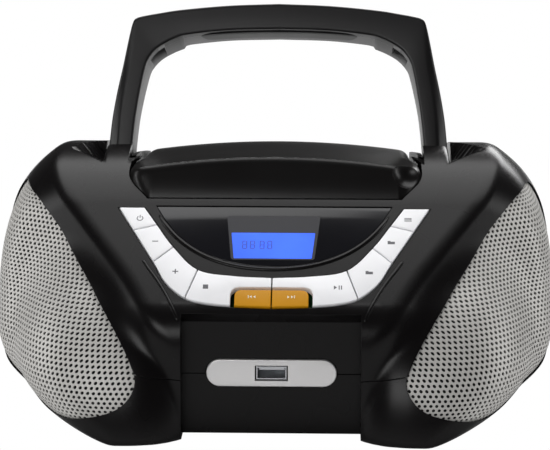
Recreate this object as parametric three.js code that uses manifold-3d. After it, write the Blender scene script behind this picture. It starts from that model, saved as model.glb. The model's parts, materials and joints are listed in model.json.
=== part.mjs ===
// Portable boombox: disc player under a hinged lid, tuner, two speakers, folding carry handle.
// Millimetres, X to the right, Y to the back, Z up. The assembly group is drawn about the body's own
// axes and stands ORIGIN_SHIFT further back, so that the origin is on the ground under the whole box.
import * as THREE from "three";
import { mergeVertices } from "three/addons/utils/BufferGeometryUtils.js";
import Module from "manifold-3d";

const wasm = await Module();
wasm.setup();

// ---------------------------------------------------------------- driving dimensions
const GAP = 0.35; // running gap between neighbouring pieces
const GROUND_CLEARANCE = 3; // height of the bottom face over the ground, the feet's height
const PARTING_Z = 30; // where the upper cabinet meets the lower one
const WALL = 3.6;
const ORIGIN_SHIFT = 6.23;

const PANEL_SIN = 0.613; // slope of the control panel
const PANEL_COS = 0.79;
const PANEL_OFFSET = 108.9; // distance of the panel plane from the origin
const LIP_Z = 60.7; // height of the panel's front edge

const POD_CENTRE_X = 66;
const POD_FRONT = 119;
const POD_DEPTH = 95;
const POD_INNER_REACH = 46;
const HALF_WIDTH = 128.5;
const WAIST_Z = 56; // height of the widest point
const SHELL_FRONT = 107;
const BACK_Y = 97;

const VALLEY_HALF_WIDTH = 39;
const VALLEY_WALL_Y = -95;

const DISC = { x: 0, y: 12 }; // axis of the disc player
const DECK_RADIUS = 62.2; // of the hole in the lid's seat

const HANDLE_PIVOT = { y: 10, z: 98 };
const HANDLE_LEAN = THREE.MathUtils.degToRad(20);
const HANDLE_FOOT_HALF_DEPTH = 12;
const CHANNEL_FLOOR_Z = 84.5;
const CHANNEL_FRONT_Y = -6;
const CHANNEL_INNER_X = 68.1;
const CHANNEL_OUTER_X = 82;

const LID_HINGE = { y: 68, z: 91 };
const LID_FRONT_Y = -50;
const LID_REAR_Y = 73.5;
const LID_SKIN = 2.4;

const GRILLE_YAW = THREE.MathUtils.degToRad(39.7); // direction the grille outline is drawn from
const SPEAKER_RADIUS = 33;

// ---------------------------------------------------------------- materials
const paint = (color, roughness, metalness = 0) =>
  new THREE.MeshStandardMaterial({ color, roughness, metalness });
const GLOSS_BLACK = paint(0x17181a, 0.28);
const SATIN_BLACK = paint(0x232427, 0.5);
const HANDLE_GREY = paint(0x3c3936, 0.42);
const GRILLE_SILVER = paint(0xb9b8b4, 0.4, 0.6);
const BUTTON_WHITE = paint(0xe4e6e8, 0.35, 0.1);
const BUTTON_AMBER = paint(0xc8901c, 0.35, 0.1);
const PLATE_SILVER = paint(0xa9aaab, 0.35, 0.6);
const LENS_SMOKE = paint(0x1f2329, 0.08);
const LCD_BLUE = paint(0x4a6ae8, 0.3);
const STEEL = paint(0x9fa2a6, 0.3, 0.9);
const CHROME = paint(0xc9ccd0, 0.15, 1);
const RUBBER = paint(0x161616, 0.85);
const CONE_PAPER = paint(0x2a2a2c, 0.8);
const FERRITE = paint(0x3a3a3d, 0.6, 0.2);
const BOARD_GREEN = paint(0x1f5b34, 0.5);
const WHITE_PLASTIC = paint(0xdcdcd8, 0.5);
const TRANSFORMER_IRON = paint(0x5c5e62, 0.5, 0.7);

// ---------------------------------------------------------------- solid helpers
const boombox = new THREE.Group();
boombox.name = "boombox";
const assembly = new THREE.Group();
assembly.position.y = ORIGIN_SHIFT;
boombox.add(assembly);

function solid(geometry) {
  const bare = new THREE.BufferGeometry();
  const flat = geometry.index ? geometry.toNonIndexed() : geometry;
  bare.setAttribute("position", flat.getAttribute("position"));
  const merged = mergeVertices(bare, 1e-3);
  const vertProperties = new Float32Array(merged.attributes.position.array);
  const triVerts = new Uint32Array(merged.index.array);
  const make = () => new wasm.Manifold(new wasm.Mesh({ numProp: 3, vertProperties, triVerts }));
  const made = make();
  if (made.volume() > 0) return made;
  triVerts.reverse(); // faces that point inwards are turned round
  return make();
}

function geometryOf(manifold) {
  const mesh = manifold.getMesh();
  const stride = mesh.numProp;
  const positions = new Float32Array(mesh.numVert * 3);
  for (let i = 0; i < mesh.numVert; i++)
    positions.set(mesh.vertProperties.subarray(i * stride, i * stride + 3), i * 3);
  const geometry = new THREE.BufferGeometry();
  geometry.setAttribute("position", new THREE.BufferAttribute(positions, 3));
  geometry.setIndex(new THREE.BufferAttribute(mesh.triVerts, 1));
  geometry.computeVertexNormals();
  return geometry;
}

function add(name, shape, material) {
  const geometry = shape instanceof THREE.BufferGeometry ? shape : geometryOf(shape);
  const mesh = new THREE.Mesh(geometry, material);
  mesh.name = name;
  assembly.add(mesh);
  return mesh;
}

// A block between two corners.
function block(x0, x1, y0, y1, z0, z1) {
  const geometry = new THREE.BoxGeometry(x1 - x0, y1 - y0, z1 - z0);
  geometry.translate((x0 + x1) / 2, (y0 + y1) / 2, (z0 + z1) / 2);
  return solid(geometry);
}

// A disc or rod that starts at a point and runs a length along an axis.
function rod(axis, start, radius, length, segments = 24, endRadius = radius) {
  const geometry = new THREE.CylinderGeometry(endRadius, radius, length, segments);
  geometry.translate(0, length / 2, 0);
  const turn = new THREE.Quaternion().setFromUnitVectors(
    new THREE.Vector3(0, 1, 0),
    new THREE.Vector3(...axis).normalize(),
  );
  geometry.applyQuaternion(turn);
  geometry.translate(...start);
  return solid(geometry);
}

function shapeOf(points) {
  return new THREE.Shape(points.map(([a, b]) => new THREE.Vector2(a, b)));
}

// An outline drawn in the plane of two axes and pushed along the third one.
function prism(shape, depth, basis, origin, curveSegments = 8) {
  const geometry = new THREE.ExtrudeGeometry(shape, {
    depth,
    bevelEnabled: false,
    curveSegments,
  });
  const frame = new THREE.Matrix4().makeBasis(...basis);
  frame.setPosition(...origin);
  geometry.applyMatrix4(frame);
  return solid(geometry);
}

const AXIS_X = new THREE.Vector3(1, 0, 0);
const AXIS_Y = new THREE.Vector3(0, 1, 0);
const AXIS_Z = new THREE.Vector3(0, 0, 1);
const PLAN = [AXIS_X, AXIS_Y, AXIS_Z];
const SIDE_VIEW = [AXIS_Y, AXIS_Z, AXIS_X];
const FRONT_VIEW = [AXIS_X, AXIS_Z, AXIS_Y.clone().negate()];

// Outline in plan, from z0 to z1.
const planPrism = (shape, z0, z1) => prism(shape, z1 - z0, PLAN, [0, 0, z0]);
// Outline in side view (y, z), from x0 to x1.
const sidePrism = (shape, x0, x1) => prism(shape, x1 - x0, SIDE_VIEW, [x0, 0, 0]);
// Outline in front view (x, z), from y0 back to y1.
const frontPrism = (shape, y0, y1) => prism(shape, y1 - y0, FRONT_VIEW, [0, y1, 0]);

// A turned part on the vertical axis; its profile starts and ends on the axis.
function turned(profile, segments = 24) {
  const points = profile.map(([r, z]) => new THREE.Vector2(r, z));
  const geometry = new THREE.LatheGeometry(points, segments);
  geometry.rotateX(Math.PI / 2);
  return solid(geometry);
}

const mirrored = (manifold) => manifold.mirror([1, 0, 0]);

// ---------------------------------------------------------------- the body's outer form
function softMin(a, b, radius) {
  const h = Math.max(radius - Math.abs(a - b), 0) / radius;
  return Math.min(a, b) - (h * h * radius) / 4;
}
const softMax = (a, b, radius) => -softMin(-a, -b, radius);

const topHeight = (y) => 116.3 - 0.0018 * (y + 25) ** 2;

// Front, panel slope, top and back, seen from the side.
function sideProfile(y, z, front, setBack, frontRound, topRound, topDrop) {
  const slope = -PANEL_SIN * y + PANEL_COS * z - (PANEL_OFFSET - setBack);
  let f = softMax(-y - front, slope, frontRound);
  f = softMax(f, z - topHeight(y) + topDrop, topRound);
  return softMax(f, y - BACK_Y, 50);
}

// Half the width of the body at a height.
function halfWidth(z) {
  const above = z > WAIST_Z;
  const reach = above ? (z - WAIST_Z) / 90 : (WAIST_Z - z) / 57;
  const power = above ? 2.5 : 3.1;
  return HALF_WIDTH * Math.max(1 - Math.min(reach, 0.999) ** power, 1e-4) ** (1 / power);
}

// The two egg-shaped speaker pods.
function pods(x, y, z) {
  const profile = sideProfile(y, z, POD_FRONT, 6, 34, 20, 1.5);
  const across = Math.abs(x) - POD_CENTRE_X;
  const forward = Math.min(Math.max((-60 - y) / 30, 0), 1);
  const outward = across / Math.max(halfWidth(z) - POD_CENTRE_X, 8);
  const sideways = across > 0 ? outward : (-across / POD_INNER_REACH) * forward;
  const deep = Math.max(1 + profile / POD_DEPTH, 0);
  const power = 2.7;
  return 80 * ((sideways ** power + deep ** power) ** (1 / power) - 1);
}

// The V outline of the middle part in front view: wide on top, narrow at the ground.
function vOutline(x, z) {
  const ax = Math.abs(x);
  const upper = 0.682 * (ax - 52.8) - 0.731 * (z - LIP_Z);
  const lower = 0.92 * (ax - 40.8) - 0.39 * (z - 32.4);
  return softMax(softMin(upper, lower, 8), ax - 103, 12);
}

// The middle part with its control panel; its flanks fall back behind the pods.
function middle(x, y, z) {
  const profile = sideProfile(y, z, SHELL_FRONT, 0, 10, 18, 0);
  const flank = 0.5 * vOutline(x, z) + 0.866 * profile;
  return softMax(softMax(profile, flank, 2), Math.abs(x) - halfWidth(z), 10);
}

// Negative inside the body, close to the distance in millimetres near its surface.
function bodyField(x, y, z) {
  let f = softMin(pods(x, y, z), middle(x, y, z), 4);
  const core = Math.max(Math.abs(x) - 45, VALLEY_WALL_Y - y, z - 60, y - 80);
  f = softMin(f, core, 3);
  return softMax(f, GROUND_CLEARANCE - z, 4);
}

// The body's surface, moved inwards by an inset: a gridded block whose points are pushed
// out from the middle until they meet the surface.
function bodySolid(inset, columns, rows, layers) {
  const centre = new THREE.Vector3(0, -8, 54);
  const size = new THREE.Vector3(212, 178, 100);
  const spread = 0.62;
  const geometry = new THREE.BoxGeometry(size.x, size.y, size.z, columns, rows, layers);
  const position = geometry.getAttribute("position");
  const p = new THREE.Vector3();
  const from = new THREE.Vector3();
  for (let i = 0; i < position.count; i++) {
    p.fromBufferAttribute(position, i);
    from.set(p.x * spread, 0, 0).add(centre);
    const way = p.clone().add(centre).sub(from);
    let near = 0;
    let far = 4;
    for (let step = 0; step < 40; step++) {
      const t = (near + far) / 2;
      const at = from.clone().addScaledVector(way, t);
      if (bodyField(at.x, at.y, at.z) + inset < 0) near = t;
      else far = t;
    }
    p.copy(from).addScaledVector(way, near);
    position.setXYZ(i, p.x, p.y, p.z);
  }
  return solid(geometry);
}

const outerBody = bodySolid(0, 22, 16, 10);
const innerBody = bodySolid(WALL, 14, 10, 7);

// ---------------------------------------------------------------- panel frame
const PANEL_UP = new THREE.Vector3(0, PANEL_COS, PANEL_SIN).normalize();
const PANEL_OUT = new THREE.Vector3(0, -PANEL_SIN, PANEL_COS).normalize();
const PANEL_ORIGIN = [0, -(PANEL_OFFSET - PANEL_COS * LIP_Z) / PANEL_SIN, LIP_Z];

// An outline on the panel (x, distance up the slope) between two heights over its surface.
function panelPrism(shape, low, high) {
  const origin = new THREE.Vector3(...PANEL_ORIGIN).addScaledVector(PANEL_OUT, low);
  return prism(shape, high - low, [AXIS_X, PANEL_UP, PANEL_OUT], origin.toArray());
}

function grown(points, by) {
  // Moves every edge of a counter-clockwise outline outwards.
  return points.map((p, i) => {
    const a = points[(i + points.length - 1) % points.length];
    const b = points[(i + 1) % points.length];
    const u = new THREE.Vector2(p[0] - a[0], p[1] - a[1]).normalize();
    const v = new THREE.Vector2(b[0] - p[0], b[1] - p[1]).normalize();
    const n = new THREE.Vector2(u.y + v.y, -u.x - v.x).normalize();
    const k = by / Math.max(n.x * u.y - n.y * u.x, 0.4);
    return [p[0] + n.x * k, p[1] + n.y * k];
  });
}
const flipped = (points) => points.map(([x, w]) => [-x, w]).reverse();

// ---------------------------------------------------------------- cabinets
// The recess between the legs, with the overhanging front edge of the panel.
function valley(grow) {
  const wall = VALLEY_WALL_Y + grow;
  const outline = shapeOf([
    [-140, -6],
    [wall, -6],
    [wall, 53.5 + grow],
    [-99.4, 58.6 + grow],
    [-140, 58.6 + grow],
  ]);
  const half = VALLEY_HALF_WIDTH + grow;
  return sidePrism(outline, -half, half);
}

// Plan of the U-shaped channel that takes the folded handle.
function channelPlan(grow) {
  const inner = CHANNEL_INNER_X - grow;
  const outer = CHANNEL_OUTER_X + grow;
  const front = CHANNEL_FRONT_Y - grow;
  return shapeOf([
    [-outer, front],
    [-inner, front],
    [-inner, 18],
    [-64.4 + grow, 51],
    [-59.4 + grow, 65.4 - grow],
    [-48.6 + grow, 74.6 - grow],
    [48.6 - grow, 74.6 - grow],
    [59.4 - grow, 65.4 - grow],
    [64.4 - grow, 51],
    [inner, 18],
    [inner, front],
    [outer, front],
    [outer, 112],
    [-outer, 112],
  ]);
}

// Plan of the lid, wider in front, round behind.
function lidPlan(grow) {
  const shape = new THREE.Shape();
  shape.moveTo(-57 - grow, LID_FRONT_Y - grow);
  shape.lineTo(57 + grow, LID_FRONT_Y - grow);
  shape.lineTo(66.5 + grow, -37);
  shape.lineTo(66.2 + grow, -27);
  shape.lineTo(62.4 + grow, -17);
  shape.lineTo(62.4 + grow, 14);
  shape.bezierCurveTo(62.4 + grow, 50, 57, LID_REAR_Y + grow, 42, LID_REAR_Y + grow);
  shape.lineTo(-42, LID_REAR_Y + grow);
  shape.bezierCurveTo(-57, LID_REAR_Y + grow, -62.4 - grow, 50, -62.4 - grow, 14);
  shape.lineTo(-62.4 - grow, -17);
  shape.lineTo(-66.2 - grow, -27);
  shape.lineTo(-66.5 - grow, -37);
  return shape;
}

const rimHeight = (y) => 98.6 - ((y - LID_FRONT_Y) / (LID_REAR_Y - LID_FRONT_Y)) * 6.6;

// Everything between two heights over the lid's seat, a plane that falls to the back.
function overRim(low, high) {
  const y0 = -60;
  const y1 = 90;
  const outline = shapeOf([
    [y0, rimHeight(y0) + low],
    [y1, rimHeight(y1) + low],
    [y1, rimHeight(y1) + high],
    [y0, rimHeight(y0) + high],
  ]);
  return sidePrism(outline, -90, 90);
}

let cabinet = outerBody.subtract(innerBody);
cabinet = cabinet.add(valley(2.6).intersect(outerBody)).subtract(valley(0));
const channelBlock = planPrism(channelPlan(2.2), CHANNEL_FLOOR_Z - 2.4, 130);
cabinet = cabinet.add(channelBlock.intersect(outerBody));
const rimPlate = planPrism(lidPlan(2.4), 60, 130).intersect(overRim(-2.6, 0));
cabinet = cabinet.add(rimPlate.intersect(outerBody));
cabinet = cabinet.subtract(planPrism(channelPlan(0), CHANNEL_FLOOR_Z, 130));
cabinet = cabinet.subtract(planPrism(lidPlan(GAP), 60, 130).intersect(overRim(0, 60)));
const shoulder = block(-CHANNEL_INNER_X, CHANNEL_INNER_X, -30, 76, 60, 130);
cabinet = cabinet.subtract(shoulder.subtract(underLidTop(0)));
// Room for the lid's flared front corners, which move back as they rise, and for its rear corners.
const flareRoom = planPrism(lidPlan(GAP), 60, 130)
  .translate([0, 2.6, 0])
  .intersect(block(-70, 70, -28, -10, 60, 130));
const rearRoom = block(-CHANNEL_INNER_X, CHANNEL_INNER_X, 40, 76, 60, 130);
cabinet = cabinet.subtract(flareRoom.add(rearRoom).intersect(overRim(0, 60)));
cabinet = cabinet.subtract(rod([0, 0, 1], [DISC.x, DISC.y, 60], DECK_RADIUS, 60, 48));

// Notch behind the lid's hinge, and the ears and slots that hold it.
const LUG_X = 34;
const LUG_WIDTH = 3.4;
const EAR_X = 38;
const EAR_WIDTH = 3;
const PIN_RADIUS = 1.5;
cabinet = cabinet.subtract(block(-62, 62, 66.2, 77, 87.4, 130));
const lidPin = (radius) =>
  rod([1, 0, 0], [LUG_X - 0.8, LID_HINGE.y, LID_HINGE.z], radius, EAR_X + EAR_WIDTH + 1.6 - LUG_X);
const ear = block(EAR_X, EAR_X + EAR_WIDTH, 62, 70.7, 89.8, 94.2);
const lugSlot = block(LUG_X - GAP, LUG_X + LUG_WIDTH + GAP, 64.4, 77, 86, 97);
for (const side of [1, -1]) {
  const turn = side > 0 ? (m) => m : mirrored;
  cabinet = cabinet.add(turn(ear)).subtract(turn(lugSlot));
  cabinet = cabinet.subtract(turn(lidPin(PIN_RADIUS + GAP)));
}

// Scoops beside the feet of the handle, pointed to the outside.
const SCOOP = [
  [CHANNEL_OUTER_X - 1, -24],
  [95, -12],
  [CHANNEL_OUTER_X - 1, 12],
];
const SCOOP_FLOOR_Z = 105;
const scoopBlock = planPrism(shapeOf(grown(SCOOP, 2)), SCOOP_FLOOR_Z - 2.2, 130)
  .intersect(outerBody)
  .subtract(planPrism(channelPlan(0), CHANNEL_FLOOR_Z, 130));
const scoop = planPrism(shapeOf(SCOOP), SCOOP_FLOOR_Z, 130);
cabinet = cabinet.add(scoopBlock).subtract(scoop);
cabinet = cabinet.add(mirrored(scoopBlock)).subtract(mirrored(scoop));

// Handle pins, through both walls of each arm's slot.
const HANDLE_PIN_RADIUS = 3;
const handlePinHole = (radius) =>
  rod([1, 0, 0], [63.6, HANDLE_PIVOT.y, HANDLE_PIVOT.z], radius, 24);
cabinet = cabinet.subtract(handlePinHole(HANDLE_PIN_RADIUS + GAP));
cabinet = cabinet.subtract(mirrored(handlePinHole(HANDLE_PIN_RADIUS + GAP)));

// ---------------------------------------------------------------- buttons and display window
const RISE = 0.8; // height of the caps over the panel
const CAP_DEPTH = 2.6;
// Corners of the button band on the right half, from the outer top end to the middle.
const BAND_OUTER = [
  [69.8, 56.4],
  [62.4, 43],
  [52.5, 25],
  [46.4, 13.4],
  [37.6, 5],
  [28.5, 2.1],
  [17.6, 0.9],
];
const BAND_INNER = [
  [58, 56.4],
  [51.8, 46.2],
  [43.9, 33.6],
  [32.6, 20.9],
  [17, 17.6],
];
const AMBER_TOP = 10.9;
const MIDDLE_TOP = 16.6;
const BAND_LOW = 0.2;
const HALF_SLIT = 0.28;

// Pulls an outline's corners towards its middle, so that neighbours keep a slit.
function shrunk(points) {
  return grown(points, -HALF_SLIT);
}

const RIGHT_BUTTONS = {
  mode: [BAND_INNER[0], BAND_INNER[1], BAND_OUTER[1], BAND_OUTER[0]],
  folder_up: [BAND_INNER[1], BAND_INNER[2], BAND_OUTER[2], BAND_OUTER[1]],
  folder_down: [BAND_INNER[2], BAND_INNER[3], BAND_OUTER[4], BAND_OUTER[3], BAND_OUTER[2]],
  play: [
    BAND_INNER[3],
    BAND_INNER[4],
    [0, MIDDLE_TOP],
    [0, AMBER_TOP],
    [17.6, AMBER_TOP],
    BAND_OUTER[6],
    BAND_OUTER[5],
    BAND_OUTER[4],
  ],
  tune_up: [
    [0, AMBER_TOP],
    [0, BAND_LOW],
    BAND_OUTER[6],
    [17.6, 8.6],
    [15.2, AMBER_TOP],
  ],
};
const LEFT_NAMES = {
  mode: "power",
  folder_up: "volume_down",
  folder_down: "volume_up",
  play: "stop",
  tune_up: "tune_down",
};

const bandOutline = [
  ...BAND_OUTER.map(([x, w]) => [-x, w]),
  [0, BAND_LOW],
  ...[...BAND_OUTER].reverse(),
  ...BAND_INNER,
  [0, MIDDLE_TOP],
  ...flipped(BAND_INNER),
];
cabinet = cabinet.subtract(panelPrism(shapeOf(grown(bandOutline, GAP)), -4.6, 20));

for (const [name, outline] of Object.entries(RIGHT_BUTTONS)) {
  const cap = panelPrism(shapeOf(shrunk(outline)), -CAP_DEPTH, RISE);
  const material = name === "tune_up" ? BUTTON_AMBER : BUTTON_WHITE;
  add("button_" + name, cap, material);
  add("button_" + LEFT_NAMES[name], mirrored(cap), material);
}

// The half-moon window over the display.
function lensOutline(grow) {
  const shape = new THREE.Shape();
  const topW = 57.6 + grow;
  shape.moveTo(52.7 + grow, topW);
  shape.bezierCurveTo(43 + grow, 36 - grow, 26, 23.6 - grow, 0, 23.6 - grow);
  shape.bezierCurveTo(-26, 23.6 - grow, -43 - grow, 36 - grow, -52.7 - grow, topW);
  return shape;
}
const LENS_LOW = -2.3;
cabinet = cabinet.subtract(panelPrism(lensOutline(GAP), LENS_LOW - 0.3, 20));
const windowOutline = (grow) =>
  shapeOf([
    [-22 - grow, 26 - grow],
    [22 + grow, 26 - grow],
    [22 + grow, 54 + grow],
    [-22 - grow, 54 + grow],
  ]);
cabinet = cabinet.subtract(panelPrism(windowOutline(0), -12, 0));
add("display_lens", panelPrism(lensOutline(0), LENS_LOW, -0.3), LENS_SMOKE);

const LCD_DEPTH = 3.6;
const lcd = panelPrism(windowOutline(-0.5), -LCD_DEPTH - 4, -LCD_DEPTH + 0.8);
add("lcd_module", lcd, LCD_BLUE);

// Circuit board under the buttons, with one key switch below each cap.
const BOARD_TOP = -8.2;
let keyBoard = panelPrism(
  shapeOf([
    [-42, 7],
    [42, 7],
    [60, 40],
    [64, 53],
    [54, 53],
    [48, 47],
    [-48, 47],
    [-54, 53],
    [-64, 53],
    [-60, 40],
  ]),
  BOARD_TOP - 1.6,
  BOARD_TOP,
);
const SWITCH_HALF = 2.1;
const SWITCH_SPOTS = [
  [60.4, 49.8],
  [52, 37],
  [42, 19.4],
  [26, 10.5],
  [8.6, 9.2],
];
for (const [x, w] of SWITCH_SPOTS)
  for (const side of [-1, 1]) {
    const corner = [side * x, w];
    const square = shapeOf([
      [corner[0] - SWITCH_HALF, corner[1] - SWITCH_HALF],
      [corner[0] + SWITCH_HALF, corner[1] - SWITCH_HALF],
      [corner[0] + SWITCH_HALF, corner[1] + SWITCH_HALF],
      [corner[0] - SWITCH_HALF, corner[1] + SWITCH_HALF],
    ]);
    keyBoard = keyBoard.add(panelPrism(square, BOARD_TOP - 0.5, -4));
  }
add("key_board", keyBoard, BOARD_GREEN);

// ---------------------------------------------------------------- speakers and grilles
const GRILLE_BASIS = [
  new THREE.Vector3(Math.cos(GRILLE_YAW), Math.sin(GRILLE_YAW), 0),
  AXIS_Z,
  new THREE.Vector3(Math.sin(GRILLE_YAW), -Math.cos(GRILLE_YAW), 0),
];
// Leaf outline of the right grille, seen from its own direction: a curve through these points.
const LEAF = [
  [75, 102],
  [57.6, 98],
  [41, 89],
  [24, 77],
  [5.7, 65],
  [-9, 53.5],
  [-21.7, 40],
  [-27.3, 29],
  [-23.5, 19],
  [-9, 14],
  [12, 13],
  [38, 17],
  [64, 28],
  [84, 45],
  [95, 66],
  [95, 86],
  [87, 98],
];
const leafCurve = new THREE.CatmullRomCurve3(
  LEAF.map(([s, z]) => new THREE.Vector3(s, z, 0)),
  true,
);
const leafPoints = leafCurve
  .getPoints(40)
  .slice(0, -1)
  .reverse()
  .map((p) => [p.x, p.y]);
const orientedLeaf = THREE.ShapeUtils.isClockWise(shapeOf(leafPoints).getPoints())
  ? [...leafPoints].reverse()
  : leafPoints;
function leaf(grow) {
  const nearSide = 55;
  const farSide = 175;
  const origin = GRILLE_BASIS[2].clone().multiplyScalar(nearSide).toArray();
  return prism(shapeOf(grown(orientedLeaf, grow)), farSide - nearSide, GRILLE_BASIS, origin);
}

const REBATE = 2.4;
const GRILLE_INSET = 0.5;
const GRILLE_THICKNESS = 1.3;
const rebate = leaf(0).subtract(bodySolid(REBATE, 16, 12, 8));
const through = leaf(-2.6);
cabinet = cabinet.subtract(rebate).subtract(through);
cabinet = cabinet.subtract(mirrored(rebate)).subtract(mirrored(through));
const grilleSheet = bodySolid(GRILLE_INSET, 16, 12, 8).subtract(
  bodySolid(GRILLE_INSET + GRILLE_THICKNESS, 16, 12, 8),
);
const rightGrille = grilleSheet.intersect(leaf(-GAP));
add("right_speaker_grille", rightGrille, GRILLE_SILVER);
add("left_speaker_grille", mirrored(rightGrille), GRILLE_SILVER);

// A round part turned from a profile (radius, height) as a plain geometry.
function turnedGeometry(profile, segments = 24) {
  return geometryOf(turned(profile, segments));
}

const SPEAKER = { x: 86, y: -70, z: 45 };
const SPEAKER_YAW = THREE.MathUtils.degToRad(28);
const SPEAKER_TILT = THREE.MathUtils.degToRad(18);
const BASKET = [
  [28.5, 0],
  [SPEAKER_RADIUS, 0],
  [SPEAKER_RADIUS, -2],
  [30, -2],
  [18, -22],
  [18, -24],
  [9, -24],
  [9, -22.6],
  [16.6, -22.6],
  [28.5, -2.8],
  [28.5, 0],
];
const CONE = [
  [0, -15.6],
  [9, -15.6],
  [26.4, -3.4],
  [27.9, -2.4],
  [27.9, -1],
  [25.4, -1],
  [9, -13],
  [6, -10.8],
  [0, -9.6],
];
const MAGNET = [
  [0, -36],
  [19, -36],
  [19, -24.4],
  [0, -24.4],
];
for (const [side, label] of [
  [1, "right"],
  [-1, "left"],
]) {
  const driver = new THREE.Group();
  driver.position.set(side * SPEAKER.x, SPEAKER.y, SPEAKER.z);
  driver.rotation.set(Math.PI / 2 - SPEAKER_TILT, 0, side * SPEAKER_YAW, "ZXY");
  for (const [part, profile, material] of [
    ["basket", BASKET, STEEL],
    ["cone", CONE, CONE_PAPER],
    ["magnet", MAGNET, FERRITE],
  ]) {
    const mesh = new THREE.Mesh(turnedGeometry(profile, 24), material);
    mesh.name = label + "_speaker_" + part;
    driver.add(mesh);
  }
  assembly.add(driver);
}

// ---------------------------------------------------------------- handle
const handle = new THREE.Group();
handle.position.set(0, HANDLE_PIVOT.y, HANDLE_PIVOT.z);
handle.rotation.x = -HANDLE_LEAN;
assembly.add(handle);

// Half of the frame's outline (x, height over the pivot), outside and inside, from the foot upwards.
const HANDLE_OUTER = [
  [80.6, -14],
  [80.6, 11.7],
  [79.2, 24.3],
  [76.9, 38.5],
  [71.6, 65.7],
  [69.6, 72.6],
  [68, 74.1],
  [62.8, 75.5],
  [46.2, 78.4],
  [23.8, 80.5],
  [0, 81.4],
];
const HANDLE_INNER = [
  [69.2, -14],
  [69.2, 8],
  [67.6, 27.5],
  [65.6, 41],
  [63.4, 51],
  [60.8, 56.6],
  [56.4, 61],
  [50, 64.4],
  [42, 66.6],
  [26, 68.4],
  [0, 69.2],
];
const leftHalf = (points) => points.slice(0, -1).map(([x, z]) => [-x, z]);
const handleOutline = shapeOf([
  ...HANDLE_OUTER,
  ...leftHalf(HANDLE_OUTER).reverse(),
  ...leftHalf(HANDLE_INNER),
  ...[...HANDLE_INNER].reverse(),
]);

const gripHalfDepth = 10.5;
const handleSide = new THREE.Shape();
handleSide.moveTo(HANDLE_FOOT_HALF_DEPTH, 0);
handleSide.lineTo(gripHalfDepth, 90);
handleSide.lineTo(-gripHalfDepth, 90);
handleSide.lineTo(-HANDLE_FOOT_HALF_DEPTH, 0);
handleSide.absarc(0, 0, HANDLE_FOOT_HALF_DEPTH, Math.PI, 2 * Math.PI, false);
let handleFrame = frontPrism(handleOutline, -14, 14).intersect(sidePrism(handleSide, -90, 90));
handleFrame = handleFrame.subtract(rod([1, 0, 0], [-90, 0, 0], HANDLE_PIN_RADIUS + GAP, 180));

// Grip cover let into the underside of the grip.
function gripCover(grow) {
  const half = 40 + grow;
  const low = 66.5;
  const rise = 71.4;
  const thick = 2.4;
  const shape = new THREE.Shape();
  shape.moveTo(-half, low - 2 * grow);
  shape.quadraticCurveTo(0, rise - 2 * grow, half, low - 2 * grow);
  shape.lineTo(half, low + thick + grow);
  shape.quadraticCurveTo(0, rise + thick + grow, -half, low + thick + grow);
  return frontPrism(shape, -7.5 - grow, 7.5 + grow);
}
handleFrame = handleFrame.subtract(gripCover(GAP));
const handleMesh = new THREE.Mesh(geometryOf(handleFrame), HANDLE_GREY);
handleMesh.name = "handle_frame";
handle.add(handleMesh);
const coverMesh = new THREE.Mesh(geometryOf(gripCover(0)), SATIN_BLACK);
coverMesh.name = "handle_grip_cover";
handle.add(coverMesh);

const handlePin = rod([1, 0, 0], [65, HANDLE_PIVOT.y, HANDLE_PIVOT.z], HANDLE_PIN_RADIUS, 21);
add("right_handle_pin", handlePin, STEEL);
add("left_handle_pin", mirrored(handlePin), STEEL);

// ---------------------------------------------------------------- lid
// Height of the lid's top face: a steep front and a crowned roof.
function lidTop(x, y, skin) {
  const roof = topHeight(y) - 4.2 * (x / 60) ** 2 - skin;
  const face = 99 + (y - LID_FRONT_Y - skin * 0.5) * 1.7;
  return softMin(roof, face, 3);
}

// A block whose top face follows the lid's top.
function underLidTop(skin) {
  const half = 72;
  const floor = 80;
  const geometry = new THREE.BoxGeometry(2 * half, 150, 40, 10, 14, 1);
  geometry.translate(0, 15, 100);
  const position = geometry.getAttribute("position");
  for (let i = 0; i < position.count; i++) {
    const x = position.getX(i);
    const y = position.getY(i);
    const z = position.getZ(i) > 100 ? Math.max(lidTop(x, y, skin), floor + 2) : floor;
    position.setZ(i, z);
  }
  return solid(geometry);
}

const lidOuter = planPrism(lidPlan(0), 80, 130).intersect(underLidTop(0)).intersect(overRim(GAP, 60));
const lidInner = planPrism(lidPlan(-LID_SKIN), 70, 130).intersect(underLidTop(LID_SKIN));
let lid = lidOuter.subtract(lidInner);

const finger = (radius) => {
  const geometry = new THREE.SphereGeometry(radius, 16, 10);
  geometry.translate(61, -47.5, 112);
  return solid(geometry);
};
lid = lid.add(finger(11.5).intersect(lidOuter)).subtract(finger(9));

const LINER_Z = 96.5;
const LINER_THICKNESS = 1.5;
for (const [x, y] of [
  [0, 52],
  [-34, -8],
  [34, -8],
]) {
  const base = LINER_Z + LINER_THICKNESS + GAP;
  lid = lid.add(rod([0, 0, 1], [x, y, base], 3, lidTop(x, y, LID_SKIN) - base + 1, 12));
}
const lugSide = new THREE.Shape();
lugSide.moveTo(LID_HINGE.y - 3, LID_HINGE.z);
lugSide.absarc(LID_HINGE.y, LID_HINGE.z, 3, Math.PI, 2 * Math.PI, false);
lugSide.lineTo(LID_HINGE.y + 3, 97.4);
lugSide.lineTo(LID_HINGE.y - 3, 98);
const lug = sidePrism(lugSide, LUG_X, LUG_X + LUG_WIDTH);
lid = lid.add(lug).add(mirrored(lug));
lid = lid.subtract(lidPin(PIN_RADIUS + GAP)).subtract(mirrored(lidPin(PIN_RADIUS + GAP)));
add("cd_lid", lid, GLOSS_BLACK);
add("right_lid_pin", lidPin(PIN_RADIUS), STEEL);
add("left_lid_pin", mirrored(lidPin(PIN_RADIUS)), STEEL);

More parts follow.
